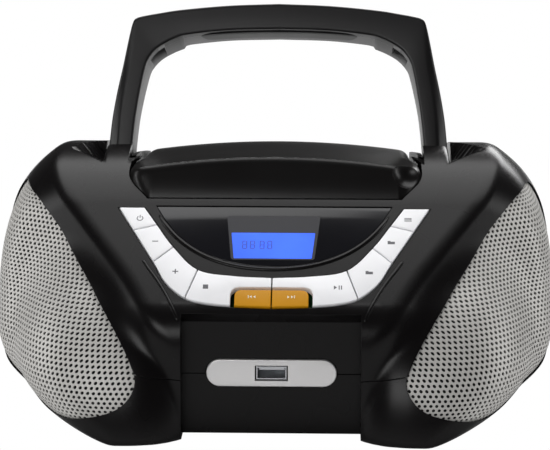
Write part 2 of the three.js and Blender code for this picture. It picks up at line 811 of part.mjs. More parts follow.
// ---------------------------------------------------------------- disc player
const player = new THREE.Group();
player.position.set(DISC.x, DISC.y, 0);
assembly.add(player);

function addTo(group, name, shape, material) {
  const mesh = new THREE.Mesh(geometryOf(shape), material);
  mesh.name = name;
  group.add(mesh);
}

const linerTop = LINER_Z + LINER_THICKNESS;
addTo(
  player,
  "lid_liner",
  turned([
    [9.3, LINER_Z],
    [52, LINER_Z],
    [52, linerTop],
    [9.3, linerTop],
    [9.3, LINER_Z],
  ]),
  SATIN_BLACK,
);
addTo(
  player,
  "disc_clamp",
  turned([
    [0, 89.6],
    [13, 89.6],
    [14, 90.6],
    [14, 94.6],
    [8, 94.6],
    [8, 99.2],
    [12, 99.2],
    [12, 100.6],
    [0, 100.6],
  ]),
  WHITE_PLASTIC,
);
const DECK_TOP = 91;
const DECK_FLOOR = 81.5;
const deckOuter = DECK_RADIUS - 0.4;
let deck = turned(
  [
    [16, DECK_FLOOR - 2],
    [deckOuter, DECK_FLOOR - 2],
    [deckOuter, DECK_TOP],
    [deckOuter - 0.9, DECK_TOP],
    [deckOuter - 0.9, DECK_FLOOR],
    [16, DECK_FLOOR],
    [16, DECK_FLOOR - 2],
  ],
  48,
);
deck = deck.subtract(block(-10.5, 10.5, -56, -10, 78, 83));
deck = deck.subtract(block(-35, 35, 53, 63, 86.4, 93));
addTo(player, "cd_deck", deck, SATIN_BLACK);
addTo(
  player,
  "spindle_hub",
  turned([
    [0, 76.6],
    [1.5, 76.6],
    [1.5, 82.4],
    [6, 82.4],
    [6, 84.2],
    [13, 84.2],
    [13, 85.8],
    [7.3, 85.8],
    [7.3, 88],
    [5.5, 89.2],
    [0, 89.2],
  ]),
  WHITE_PLASTIC,
);
addTo(player, "spindle_motor", rod([0, 0, 1], [0, 0, 66], 12, 10.2), STEEL);

const RAIL = { x: 12.5, z: 72.5, radius: 1.5 };
const rail = (radius) => rod([0, 1, 0], [RAIL.x, -60, RAIL.z], radius, 46, 14);
addTo(player, "right_sled_rail", rail(RAIL.radius), CHROME);
addTo(player, "left_sled_rail", mirrored(rail(RAIL.radius)), CHROME);
let sled = block(-16, 16, -34, -18, 70, 77);
sled = sled.subtract(rail(RAIL.radius + GAP)).subtract(mirrored(rail(RAIL.radius + GAP)));
addTo(player, "pickup_sled", sled, SATIN_BLACK);
addTo(player, "pickup_lens", rod([0, 0, 1], [0, -26, 77.3], 3.6, 4, 20), LENS_SMOKE);

// Toothed wheel that drives the sled.
const TEETH = 14;
const gearShape = new THREE.Shape();
for (let i = 0; i < TEETH * 2; i++) {
  const angle = (i / TEETH) * Math.PI;
  const radius = i % 2 ? 4.4 : 5.4;
  const at = [radius * Math.cos(angle), radius * Math.sin(angle)];
  if (i) gearShape.lineTo(...at);
  else gearShape.moveTo(...at);
}
const gear = prism(gearShape, 4, PLAN, [22, -40, 71.5]);
addTo(player, "sled_gear", gear, WHITE_PLASTIC);

// ---------------------------------------------------------------- USB socket
const USB_Z = 30.7;
function stadium(halfLength, radius) {
  const shape = new THREE.Shape();
  const straight = halfLength - radius;
  shape.moveTo(-straight, USB_Z - radius);
  shape.lineTo(straight, USB_Z - radius);
  shape.absarc(straight, USB_Z, radius, -Math.PI / 2, Math.PI / 2, false);
  shape.lineTo(-straight, USB_Z + radius);
  shape.absarc(-straight, USB_Z, radius, Math.PI / 2, Math.PI * 1.5, false);
  return shape;
}
const PORT = { halfWidth: 7.2, halfHeight: 3.45 };
const port = block(
  -PORT.halfWidth,
  PORT.halfWidth,
  -110,
  -70,
  USB_Z - PORT.halfHeight,
  USB_Z + PORT.halfHeight,
);
const usbPlate = frontPrism(stadium(28.5, 6.1), -96.2, -94.5).subtract(port);
cabinet = cabinet.subtract(frontPrism(stadium(28.5 + GAP, 6.1 + GAP), -96.4, -94.2));
cabinet = cabinet.subtract(port);
add("usb_plate", usbPlate, PLATE_SILVER);
let socket = block(-6.6, 6.6, -95.6, -80, USB_Z - 2.9, USB_Z + 2.9);
socket = socket.subtract(block(-6.1, 6.1, -96, -80.8, USB_Z - 2.4, USB_Z + 2.4));
socket = socket.add(block(-5.6, 5.6, -91, -80.4, USB_Z + 0.1, USB_Z + 1.8));
add("usb_socket", socket, STEEL);

// ---------------------------------------------------------------- batteries
const doorCut = block(-56, 56, 4, 110, 1, 5).add(block(-57.8, 57.8, 4, 110, 4.1, 6.8));
cabinet = cabinet.subtract(doorCut);
let door = block(-55.6, 55.6, 4.4, 96.2, 3.1, 5);
door = door.add(block(-57.4, 57.4, 4.4, 90, 4.5, 6.2));
for (let i = 0; i < 5; i++) {
  const y = 82 + 2.4 * i;
  door = door.subtract(block(-12, 12, y, y + 1.2, 2, 3.6));
}
add("battery_door", door, SATIN_BLACK);
cabinet = cabinet.subtract(block(-58.3, 58.3, 1.7, 86.3, 6.9, 34.3));
const tray = block(-58, 58, 2, 86, 7.2, 34).subtract(block(-56.4, 56.4, 3.6, 84.4, 6, 32.4));
add("battery_tray", tray, SATIN_BLACK);

class Coil extends THREE.Curve {
  getPoint(t, target = new THREE.Vector3()) {
    const angle = t * Math.PI * 2 * 4;
    const radius = 7 - 3 * t;
    return target.set(9 * t, radius * Math.cos(angle), radius * Math.sin(angle));
  }
}
const wire = new THREE.Shape();
wire.absarc(0, 0, 0.55, 0, Math.PI * 2);
const CELL_Z = 19.8;
for (const [i, y] of [17.4, 44, 70.6].entries()) {
  const coil = new THREE.ExtrudeGeometry(wire, {
    extrudePath: new Coil(),
    steps: 30,
    curveSegments: 3,
    bevelEnabled: false,
  });
  const mesh = new THREE.Mesh(geometryOf(solid(coil)), CHROME);
  mesh.name = "battery_spring_" + (i + 1);
  const flip = i % 2 === 1;
  mesh.position.set(flip ? 55.4 : -55.4, y, CELL_Z);
  mesh.rotation.z = flip ? Math.PI : 0;
  assembly.add(mesh);
}

// ---------------------------------------------------------------- boards and mains
let mainBoard = block(-46, 46, -55, 60, 42, 43.6);
for (const [x, y, radius, height] of [
  [-34, 40, 6, 14],
  [-18, 42, 6, 14],
  [30, -40, 4, 9],
])
  mainBoard = mainBoard.add(rod([0, 0, 1], [x, y, 43], radius, height, 16));
mainBoard = mainBoard.add(block(-40, -16, -10, 6, 43, 46));
mainBoard = mainBoard.add(block(14, 40, 20, 28, 43, 58));
mainBoard = mainBoard.add(block(-12, 10, -40, -22, 43, 45.4));
add("main_board", mainBoard, BOARD_GREEN);
const transformer = block(64, 84, 24, 60, 12, 40).add(block(60, 88, 31, 53, 16, 36));
add("power_transformer", transformer, TRANSFORMER_IRON);

const inletBody = (grow, backY) => block(61 - grow, 79 + grow, 80, backY, 9 - grow, 25 + grow);
cabinet = cabinet.subtract(inletBody(GAP, 110));
let inlet = inletBody(0, 96.6).subtract(block(63.2, 76.8, 86, 99, 12.4, 21.6));
for (const x of [66.4, 73.6]) inlet = inlet.add(rod([0, 1, 0], [x, 85.8, 17], 1.2, 8.4, 10));
add("ac_inlet", inlet, SATIN_BLACK);

const JACK = { x: 62, z: 48 };
const jackBody = (radius) => rod([0, 1, 0], [JACK.x, 84, JACK.z], radius, 13, 20);
cabinet = cabinet.subtract(jackBody(4.6 + GAP)).subtract(
  rod([0, 1, 0], [JACK.x, 92, JACK.z], 4.6 + GAP, 20, 20),
);
const jack = jackBody(4.6).subtract(rod([0, 1, 0], [JACK.x, 87, JACK.z], 1.8, 20, 14));
add("aux_jack", jack, SATIN_BLACK);

// ---------------------------------------------------------------- aerial
const AERIAL = { x: 82, y: 102, z: 60 };
cabinet = cabinet.subtract(rod([0, 1, 0], [AERIAL.x, 84, AERIAL.z], 4 + GAP, 30));
const aerial = new THREE.Group();
aerial.position.set(AERIAL.x, AERIAL.y, AERIAL.z);
assembly.add(aerial);
let swivel = rod([0, 1, 0], [0, -13, 0], 4, 11).add(rod([0, 1, 0], [0, -3, 0], 5.6, 6.4));
swivel = swivel.subtract(rod([-1, 0, 0], [-3, 0, 0], 2.9 + GAP, 20));
addTo(aerial, "antenna_swivel", swivel, SATIN_BLACK);
const tube = rod([-1, 0, 0], [-3.4, 0, 0], 2.9, 136, 16).subtract(
  rod([-1, 0, 0], [-5, 0, 0], 2.25, 150, 16),
);
addTo(aerial, "antenna_tube", tube, CHROME);
const midTube = rod([-1, 0, 0], [-5.4, 0, 0], 1.9, 138, 14).subtract(
  rod([-1, 0, 0], [-6.4, 0, 0], 1.35, 150, 14),
);
addTo(aerial, "antenna_middle_tube", midTube, CHROME);
addTo(aerial, "antenna_tip", rod([-1, 0, 0], [-6.8, 0, 0], 1, 136.8, 12), CHROME);
addTo(aerial, "antenna_knob", rod([-1, 0, 0], [-144, 0, 0], 2.6, 5, 14), CHROME);

// ---------------------------------------------------------------- feet
const FOOT_RADIUS = 7;
for (const [name, x, y] of [
  ["foot_front_left", -66, -88],
  ["foot_front_right", 66, -88],
  ["foot_rear_left", -66, 72],
  ["foot_rear_right", 66, 72],
]) {
  cabinet = cabinet.subtract(rod([0, 0, 1], [x, y, 1], FOOT_RADIUS + GAP, 3.4));
  const foot = new THREE.Mesh(new THREE.CylinderGeometry(FOOT_RADIUS, 6, 4, 24), RUBBER);
  foot.name = name;
  foot.rotation.x = Math.PI / 2;
  foot.position.set(x, y, 2);
  assembly.add(foot);
}

// ---------------------------------------------------------------- the two cabinet halves
cabinet = cabinet.simplify(0.12);
const SEAM = 0.15;
add("lower_cabinet", cabinet.intersect(block(-150, 150, -150, 150, -5, PARTING_Z - SEAM)), GLOSS_BLACK);
add("upper_cabinet", cabinet.intersect(block(-150, 150, -150, 150, PARTING_Z + SEAM, 150)), GLOSS_BLACK);

export default boombox;
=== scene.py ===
"""Looks of the portable boombox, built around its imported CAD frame.

Shapes are worked out in millimetres in the body's own design axes (X right, Y back, Z up) and
placed in the row frame, in metres, by place().
"""

import json
import math

import bpy
import numpy as np
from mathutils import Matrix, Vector


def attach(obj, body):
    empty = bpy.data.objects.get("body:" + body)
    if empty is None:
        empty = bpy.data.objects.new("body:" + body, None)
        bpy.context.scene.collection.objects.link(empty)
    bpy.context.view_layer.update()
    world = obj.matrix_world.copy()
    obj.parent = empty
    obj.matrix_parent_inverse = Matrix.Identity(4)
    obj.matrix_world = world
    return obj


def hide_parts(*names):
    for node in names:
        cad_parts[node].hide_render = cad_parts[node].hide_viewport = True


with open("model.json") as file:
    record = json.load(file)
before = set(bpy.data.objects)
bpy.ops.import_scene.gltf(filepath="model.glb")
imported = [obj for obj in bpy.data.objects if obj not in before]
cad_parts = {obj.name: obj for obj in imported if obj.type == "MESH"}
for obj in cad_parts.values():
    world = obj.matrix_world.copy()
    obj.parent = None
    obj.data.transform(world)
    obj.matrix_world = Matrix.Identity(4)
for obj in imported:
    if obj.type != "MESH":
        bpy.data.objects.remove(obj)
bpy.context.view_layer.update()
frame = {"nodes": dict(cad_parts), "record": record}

# ------------------------------------------------------------------ driving dimensions, mm
MM = 0.001
ORIGIN_SHIFT = 6.23  # the design axes stand this far behind the row frame's
WALL = 3.6
GAP = 0.35
GROUND_CLEARANCE = 3
POD_CENTRE_X = 66
WAIST_Z = 56
HALF_WIDTH = 128.4
POD_FRONT_Y = 118.5
BACK_Y = 97
VALLEY_WALL_Y = -95
VALLEY_HALF_WIDTH = 39
PANEL_SIN, PANEL_COS = 0.613, 0.79
PANEL_OFFSET = 108.9
LIP_Z = 60.7
CHANNEL = {"inner": 68.1, "outer": 82.0, "front": -6.0, "floor": 84.5}
LID_FRONT_Y, LID_REAR_Y = -50, 73.5
LID_SKIN = 2.4
DISC_Y = 12
HANDLE_PIVOT = np.array([0, 10, 98.0])
HANDLE_LEAN = math.radians(20)
GRILLE_YAW = math.radians(39.7)
USB_Z = 30.7
PORT = {"half_width": 7.2, "half_height": 3.45}
WELL_RADIUS = 62.2
LID_PIN = (0, 68, 91)
LID_PIN_RADIUS, LID_PIN_HOLE = 1.5, 1.85
HANDLE_PIN_RADIUS, HANDLE_PIN_HOLE = 3, 3.35
JACK = (62, 0, 48)
AERIAL = np.array([82, 102, 60.0])
FEET = {
    "front_left": (-66, -88, 0),
    "front_right": (66, -88, 0),
    "rear_left": (-66, 72, 0),
    "rear_right": (66, 72, 0),
}
SEARCH_STEPS = 34  # halvings that find a surface on a ray
ROUND_STEPS = 4  # rings of a rounded prism edge

X_AXIS = np.array([1.0, 0, 0])
Y_AXIS = np.array([0, 1.0, 0])
Z_AXIS = np.array([0, 0, 1.0])
PANEL_UP = np.array([0, PANEL_COS, PANEL_SIN])
PANEL_OUT = np.array([0, -PANEL_SIN, PANEL_COS])
PANEL_ORIGIN = np.array([0, -(PANEL_OFFSET - PANEL_COS * LIP_Z) / PANEL_SIN, LIP_Z])
PLAN = (X_AXIS, Y_AXIS, Z_AXIS)
SIDE_VIEW = (Y_AXIS, Z_AXIS, X_AXIS)
FRONT_VIEW = (X_AXIS, Z_AXIS, -Y_AXIS)
PANEL_VIEW = (X_AXIS, PANEL_UP, PANEL_OUT)


# ------------------------------------------------------------------ materials
def new_node(nodes, kind, x=0, y=0):
    node = nodes.new(kind)
    node.location = (x, y)
    return node


FINISHES = {}  # every finish by its name, which is a slot's name where a CAD node wears it


def material(
    name,
    color,
    roughness,
    metallic=0.0,
    coat=0.0,
    grain=0.0,
    grain_size=0.0008,
    edge=0.0003,
    tint=0.12,
    stretch=(1, 1, 1),
    specular=0.5,
    glow=0.0,
):
    """A procedural finish: fine moulded or brushed grain, uneven polish, soft edges."""
    made = bpy.data.materials.new(name)
    FINISHES[name] = made
    made.use_nodes = True
    tree = made.node_tree
    nodes, links = tree.nodes, tree.links
    nodes.clear()
    out = new_node(nodes, "ShaderNodeOutputMaterial", 600)
    shader = new_node(nodes, "ShaderNodeBsdfPrincipled", 300)
    links.new(shader.outputs["BSDF"], out.inputs["Surface"])
    place_node = new_node(nodes, "ShaderNodeTexCoord", -900)
    mapping = new_node(nodes, "ShaderNodeMapping", -700)
    mapping.inputs["Scale"].default_value = stretch
    links.new(place_node.outputs["Object"], mapping.inputs["Vector"])

    fine = new_node(nodes, "ShaderNodeTexNoise", -450, -250)
    fine.inputs["Scale"].default_value = 1 / grain_size
    fine.inputs["Detail"].default_value = 3
    links.new(mapping.outputs["Vector"], fine.inputs["Vector"])
    broad = new_node(nodes, "ShaderNodeTexNoise", -450, 150)
    broad.inputs["Scale"].default_value = 38
    broad.inputs["Detail"].default_value = 2
    links.new(mapping.outputs["Vector"], broad.inputs["Vector"])

    shade = new_node(nodes, "ShaderNodeMixRGB", 0, 250)
    low = [c * (1 - tint) for c in color]
    high = [min(c * (1 + tint), 1) for c in color]
    shade.inputs["Color1"].default_value = (*low, 1)
    shade.inputs["Color2"].default_value = (*high, 1)
    links.new(broad.outputs["Fac"], shade.inputs["Fac"])
    links.new(shade.outputs["Color"], shader.inputs["Base Color"])
    polish = new_node(nodes, "ShaderNodeMapRange", 0, 0)
    polish.inputs["To Min"].default_value = roughness * 0.88
    polish.inputs["To Max"].default_value = roughness * 1.12
    links.new(broad.outputs["Fac"], polish.inputs["Value"])
    links.new(polish.outputs["Result"], shader.inputs["Roughness"])

    shader.inputs["Metallic"].default_value = metallic
    shader.inputs["Coat Weight"].default_value = coat
    shader.inputs["Coat Roughness"].default_value = 0.06
    shader.inputs["Specular IOR Level"].default_value = specular
    normal = None
    if edge:
        soft = new_node(nodes, "ShaderNodeBevel", 0, -450)
        soft.samples = 4
        soft.inputs["Radius"].default_value = edge
        normal = soft.outputs["Normal"]
    if grain:
        bump = new_node(nodes, "ShaderNodeBump", 120, -300)
        bump.inputs["Strength"].default_value = grain
        bump.inputs["Distance"].default_value = 0.00004
        links.new(fine.outputs["Fac"], bump.inputs["Height"])
        if normal:
            links.new(normal, bump.inputs["Normal"])
        normal = bump.outputs["Normal"]
    if normal:
        links.new(normal, shader.inputs["Normal"])
    if glow:
        links.new(shade.outputs["Color"], shader.inputs["Emission Color"])
        shader.inputs["Emission Strength"].default_value = glow
    return made


GLOSS_BLACK = material("gloss_black", (0.0035, 0.003, 0.0032), 0.27, grain=0.22, specular=0.16)
LID_BLACK = material("lid_black", (0.0045, 0.004, 0.004), 0.3, grain=0.2, specular=0.22)
SATIN_BLACK = material("satin_black", (0.006, 0.006, 0.0065), 0.45, grain=0.5, specular=0.25)
HANDLE_GREY = material("handle_grey", (0.006, 0.0055, 0.006), 0.34, grain=0.3, specular=0.3)
GRILLE_SILVER = material("grille_silver", (0.5, 0.49, 0.47), 0.5, 0.25, grain=0.15, edge=0)
BUTTON_WHITE = material("button_white", (0.86, 0.86, 0.88), 0.38, coat=0.1, grain=0.2)
BUTTON_AMBER = material("button_amber", (0.56, 0.25, 0.004), 0.4, grain=0.2, specular=0.15)
PLATE_SILVER = material(
    "plate_silver", (0.7, 0.69, 0.69), 0.36, 0.6, grain=0.5, stretch=(0.08, 1, 1)
)
LENS_SMOKE = material("lens_smoke", (0.007, 0.007, 0.009), 0.12, tint=0.2, specular=0.3)
WINDOW_GREY = material("window_grey", (0.035, 0.035, 0.04), 0.2, specular=0.12)
LCD_BLUE = material("lcd_blue", (0.04, 0.12, 0.8), 0.25, tint=0.3, specular=0.1, glow=0.75)
LCD_INK = material("lcd_ink", (0.012, 0.03, 0.22), 0.3)
KEY_INK = material("key_ink", (0.10, 0.10, 0.11), 0.5)
KEY_INK_LIGHT = material("key_ink_light", (0.8, 0.76, 0.62), 0.5)
STEEL = material("steel", (0.52, 0.53, 0.55), 0.3, 0.95, grain=0.3, stretch=(1, 0.1, 1))
CHROME = material("chrome", (0.78, 0.79, 0.8), 0.14, 1.0, grain=0.1, stretch=(0.1, 1, 1))
RUBBER = material("rubber", (0.014, 0.014, 0.014), 0.8, grain=0.9)
CLOTH = material("speaker_cloth", (0.006, 0.006, 0.006), 0.95, grain=1.0, grain_size=0.0004)
material("cone_paper", (0.02, 0.02, 0.022), 0.8, grain=0.9)
material("ferrite", (0.05, 0.05, 0.055), 0.6, 0.2, grain=0.7)
material("board_green", (0.02, 0.13, 0.04), 0.45, grain=0.4, tint=0.3)
WHITE_PLASTIC = material("white_plastic", (0.72, 0.72, 0.69), 0.45, grain=0.3)
material("transformer_iron", (0.16, 0.165, 0.17), 0.5, 0.7, grain=0.6, stretch=(1, 1, 6))


# ------------------------------------------------------------------ mesh helpers
def place(points):
    """Design millimetres to row metres."""
    return (np.asarray(points, float) + [0, ORIGIN_SHIFT, 0]) * MM


def mesh_object(name, points, faces):
    mesh = bpy.data.meshes.new(name)
    mesh.from_pydata(place(points).tolist(), [], faces)
    mesh.validate()
    made = bpy.data.objects.new(name, mesh)
    bpy.context.scene.collection.objects.link(made)
    return made


def joined(parts):
    """(points, faces) lists put together into one."""
    points, faces, count = [], [], 0
    for p, f in parts:
        points.append(np.asarray(p, float))
        faces += [[i + count for i in face] for face in f]
        count += len(p)
    return np.vstack(points), faces


def as_is(part):
    return part


def mirrored(part):
    points, faces = part
    return np.asarray(points) * [-1, 1, 1], [face[::-1] for face in faces]


def both_sides(part):
    return joined([part, mirrored(part)])


def lofted(rings, closed=False):
    """Skin over rings of points of the same count, capped at both ends unless closed."""
    rings = np.asarray(rings, float)
    count, around = rings.shape[:2]
    faces = []
    for i in range(count if closed else count - 1):
        a, b = i * around, (i + 1) % count * around
        for j in range(around):
            k = (j + 1) % around
            faces.append([a + j, a + k, b + k, b + j])
    if not closed:
        faces.append(list(range(around))[::-1])
        faces.append([(count - 1) * around + j for j in range(around)])
    return rings.reshape(-1, 3), faces


def area_of(outline):
    x, y = np.asarray(outline, float).T
    return 0.5 * float(np.sum(x * np.roll(y, -1) - np.roll(x, -1) * y))


def grown(outline, by):
    """Moves every edge of an outline outwards."""
    p = np.asarray(outline, float)
    if area_of(p) < 0:
        p = p[::-1]
    before = p - np.roll(p, 1, 0)
    after = np.roll(p, -1, 0) - p
    before /= np.linalg.norm(before, axis=1)[:, None]
    after /= np.linalg.norm(after, axis=1)[:, None]
    n = np.stack([before[:, 1] + after[:, 1], -before[:, 0] - after[:, 0]], 1)
    n /= np.maximum(np.linalg.norm(n, axis=1), 1e-9)[:, None]
    reach = np.maximum(n[:, 0] * before[:, 1] - n[:, 1] * before[:, 0], 0.4)
    return p + n * (by / reach)[:, None]


def prism(outline, low, high, view=PLAN, origin=(0, 0, 0), round_top=0.0):
    """An outline in a view's first two axes, pushed along the third from low to high."""
    levels = [(low, 0.0), (high - round_top, 0.0)]
    if round_top:
        for i in range(1, ROUND_STEPS + 1):
            a = math.pi / 2 * i / ROUND_STEPS
            levels.append((high - round_top * (1 - math.sin(a)), -round_top * (1 - math.cos(a))))
    u, v, w = view
    rings = []
    for height, inset in levels:
        flat = grown(outline, inset)
        rings.append(np.outer(flat[:, 0], u) + np.outer(flat[:, 1], v) + height * w + origin)
    return lofted(rings)


def bar(x0, x1, w0, w1):
    """A rectangle as an outline."""
    return [(x0, w0), (x1, w0), (x1, w1), (x0, w1)]


def block(x0, x1, y0, y1, z0, z1):
    return prism(bar(x0, x1, y0, y1), z0, z1)


def curve_through(points, per_span=6, closed=False):
    """Smooth line through points (Catmull-Rom)."""
    p = np.asarray(points, float)
    if closed:
        before, p0, p1, after = np.roll(p, 1, 0), p, np.roll(p, -1, 0), np.roll(p, -2, 0)
    else:
        ends = np.vstack([2 * p[0] - p[1], p, 2 * p[-1] - p[-2]])
        before, p0, p1, after = ends[:-3], ends[1:-2], ends[2:-1], ends[3:]
    line = []
    for t in np.arange(per_span) / per_span:
        line.append(
            0.5 * (2 * p0 + (p1 - before) * t + (2 * before - 5 * p0 + 4 * p1 - after) * t * t
                   + (3 * p0 - before - 3 * p1 + after) * t**3)
        )
    line = np.stack(line, 1).reshape(-1, p.shape[1])
    return line if closed else np.vstack([line, p[-1]])


def bead(path, radius, sides=12, ends=True):
    """A round strip along a line, tapered at its ends."""
    path = np.asarray(path, float)
    ahead = np.gradient(path, axis=0)
    ahead /= np.linalg.norm(ahead, axis=1)[:, None]
    up = np.array([0, -0.6, 0.8])
    rings = []
    for i, (p, d) in enumerate(zip(path, ahead)):
        side = np.cross(d, up)
        side /= np.linalg.norm(side)
        top = np.cross(side, d)
        share = 1.0
        if ends:
            share = min(1.0, 0.25 + 0.25 * min(i, len(path) - 1 - i))
        angles = 2 * math.pi * np.arange(sides) / sides
        rings.append(
            p + radius * share * (np.outer(np.cos(angles), side) + np.outer(np.sin(angles), top))
        )
    return lofted(rings)


def turned(profile, start=(0, 0, 0), axis=Z_AXIS, segments=56):
    """A part turned from (radius, height) points, closed where the profile meets the axis."""
    axis = np.asarray(axis, float)
    axis = axis / np.linalg.norm(axis)
    side = np.cross(axis, X_AXIS if abs(axis[0]) < 0.9 else Y_AXIS)
    side /= np.linalg.norm(side)
    other = np.cross(axis, side)
    angles = 2 * math.pi * np.arange(segments) / segments
    around = np.outer(np.cos(angles), side) + np.outer(np.sin(angles), other)
    rings = [np.asarray(start) + max(r, 1e-3) * around + h * axis for r, h in profile]
    open_axis = profile[0][0] < 1e-6
    return lofted(rings, closed=not open_axis)


def rod(radius, low, high, start=(0, 0, 0), axis=Z_AXIS, segments=56):
    return turned([(0, low), (radius, low), (radius, high), (0, high)], start, axis, segments)


def finish_mesh(made, mat, angle=32):
    made.data.materials.clear()
    made.data.materials.append(mat)
    made.data.shade_smooth()
    made.data.set_sharp_from_angle(angle=math.radians(angle))
    return made


def piece(name, part, mat, body, nodes=(), angle=32):
    """A finished piece that rides on a body and stands for CAD nodes."""
    made = part if isinstance(part, bpy.types.Object) else mesh_object(name, *part)
    made.name = name
    finish_mesh(made, mat, angle)
    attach(made, body)
    if nodes:
        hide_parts(*nodes)
    return made


def carve(target, steps):
    """Applies (operation, part) cuts and joins to an object in order."""
    tools = []
    for operation, part in steps:
        tool = part if isinstance(part, bpy.types.Object) else mesh_object("tool", *part)
        modifier = target.modifiers.new("cut", "BOOLEAN")
        modifier.operation = operation
        modifier.solver = "MANIFOLD"
        modifier.object = tool
        tools.append(tool)
    graph = bpy.context.evaluated_depsgraph_get()
    carved = bpy.data.meshes.new_from_object(target.evaluated_get(graph))
    target.modifiers.clear()
    target.data = carved
    for tool in tools:
        bpy.data.objects.remove(tool)
    return target


def copy_of(made):
    twin = made.copy()
    twin.data = made.data.copy()
    bpy.context.scene.collection.objects.link(twin)
    return twin


# ------------------------------------------------------------------ the body's outer form
def soft_min(a, b, radius):
    h = np.maximum(radius - np.abs(a - b), 0) / radius
    return np.minimum(a, b) - h * h * radius / 4


def soft_max(a, b, radius):
    return -soft_min(-a, -b, radius)


def top_height(y):
    return 116.3 - 0.0018 * (y + 25) ** 2


def side_profile(y, z, front, set_back, front_round, top_round, top_drop):
    slope = -PANEL_SIN * y + PANEL_COS * z - (PANEL_OFFSET - set_back)
    f = soft_max(-y - front, slope, front_round)
    f = soft_max(f, z - top_height(y) + top_drop, top_round)
    return soft_max(f, y - BACK_Y, 50)


def half_width(z):
    above = z > WAIST_Z
    reach = np.where(above, (z - WAIST_Z) / 90, (WAIST_Z - z) / 57)
    power = np.where(above, 2.5, 3.1)
    rest = np.maximum(1 - np.clip(reach, 0, 0.999) ** power, 1e-4)
    return HALF_WIDTH * rest ** (1 / power)


def pods(x, y, z):
    profile = side_profile(y, z, POD_FRONT_Y, 6, 34, 20, 1.5)
    across = np.abs(x) - POD_CENTRE_X
    forward = np.clip((-60 - y) / 30, 0, 1)
    outward = across / np.maximum(half_width(z) - POD_CENTRE_X, 8)
    sideways = np.where(across > 0, outward, -across / 46 * forward)
    deep = np.maximum(1 + profile / 95, 0)
    power = 2.7
    return 80 * ((np.maximum(sideways, 0) ** power + deep**power) ** (1 / power) - 1)


def v_outline(x, z):
    ax = np.abs(x)
    upper = 0.682 * (ax - 52.8) - 0.731 * (z - LIP_Z)
    lower = 0.92 * (ax - 40.8) - 0.39 * (z - 32.4)
    return soft_max(soft_min(upper, lower, 8), ax - 103, 12)


def middle(x, y, z):
    profile = side_profile(y, z, 107, 0, 10, 18, 0)
    flank = 0.5 * v_outline(x, z) + 0.866 * profile
    return soft_max(soft_max(profile, flank, 2), np.abs(x) - half_width(z), 10)


def scoops(x, y, z):
    """The two pointed hollows outside the handle's feet; negative inside."""
    ax = np.abs(x)
    front = 0.651 * (ax - 95) - 0.759 * (y + 12)
    rear = 0.864 * (ax - 95) + 0.503 * (y + 12)
    floor = 106.5 + 0.42 * (ax - 82) - z
    hollow = soft_max(soft_max(front, rear, 3), floor, 5)
    return np.maximum(hollow, CHANNEL["outer"] - 2 - ax)


def body_field(p):
    """Negative inside the body, near its surface the distance in millimetres."""
    x, y, z = p[..., 0], p[..., 1], p[..., 2]
    f = soft_min(pods(x, y, z), middle(x, y, z), 4)
    core = np.maximum.reduce([np.abs(x) - 45, VALLEY_WALL_Y - y, z - 60, y - 80])
    f = soft_min(f, core, 3)
    f = soft_max(f, GROUND_CLEARANCE - z, 4)
    return soft_max(f, -scoops(x, y, z), 2.5)


def slope_of(field, p, step=0.05):
    """Unit outward direction and steepness of a field at points."""
    rise = np.stack([(field(p + step * a) - field(p - step * a)) / (2 * step) for a in PLAN], -1)
    steep = np.maximum(np.linalg.norm(rise, axis=-1), 1e-6)
    return rise / steep[..., None], steep


def box_grid(size, counts):
    """Points and quads of a gridded block about the origin, corners shared."""
    points, faces, first = [], [], 0
    for axis in range(3):
        a, b = (axis + 1) % 3, (axis + 2) % 3
        u = (np.arange(counts[a] + 1) / counts[a] - 0.5) * size[a]
        v = (np.arange(counts[b] + 1) / counts[b] - 0.5) * size[b]
        for side in (-1, 1):
            grid = np.zeros((len(u), len(v), 3))
            grid[..., a] = u[:, None]
            grid[..., b] = v[None, :]
            grid[..., axis] = side * size[axis] / 2
            index = first + np.arange(len(u) * len(v)).reshape(len(u), len(v))
            quads = np.stack(
                [index[:-1, :-1], index[1:, :-1], index[1:, 1:], index[:-1, 1:]], -1
            ).reshape(-1, 4)
            faces.append(quads if side > 0 else quads[:, ::-1])
            points.append(grid.reshape(-1, 3))
            first += len(u) * len(v)
    points = np.vstack(points)
    keys = np.round(points, 5)
    _, keep, merged = np.unique(keys, axis=0, return_index=True, return_inverse=True)
    return points[keep], merged.reshape(-1)[np.vstack(faces)]


def cast_solid(field, inset, centre, size, counts, spread=0.62):
    """The surface where field equals -inset, found along rays from an axis in the middle."""
    grid, faces = box_grid(size, counts)
    start = np.asarray(centre, float) + grid * [spread, 0, 0]
    way = grid + centre - start
    near = np.zeros(len(grid))
    far = np.full(len(grid), 4.0)
    for _ in range(SEARCH_STEPS):
        t = (near + far) / 2
        inside = field(start + way * t[:, None]) + inset < 0
        near = np.where(inside, t, near)
        far = np.where(inside, far, t)
    return start + way * near[:, None], faces.tolist()


BODY_BOX = ((0, -8, 54), (212, 178, 100))


def body_solid(inset, counts):
    return cast_solid(body_field, inset, *BODY_BOX, counts)


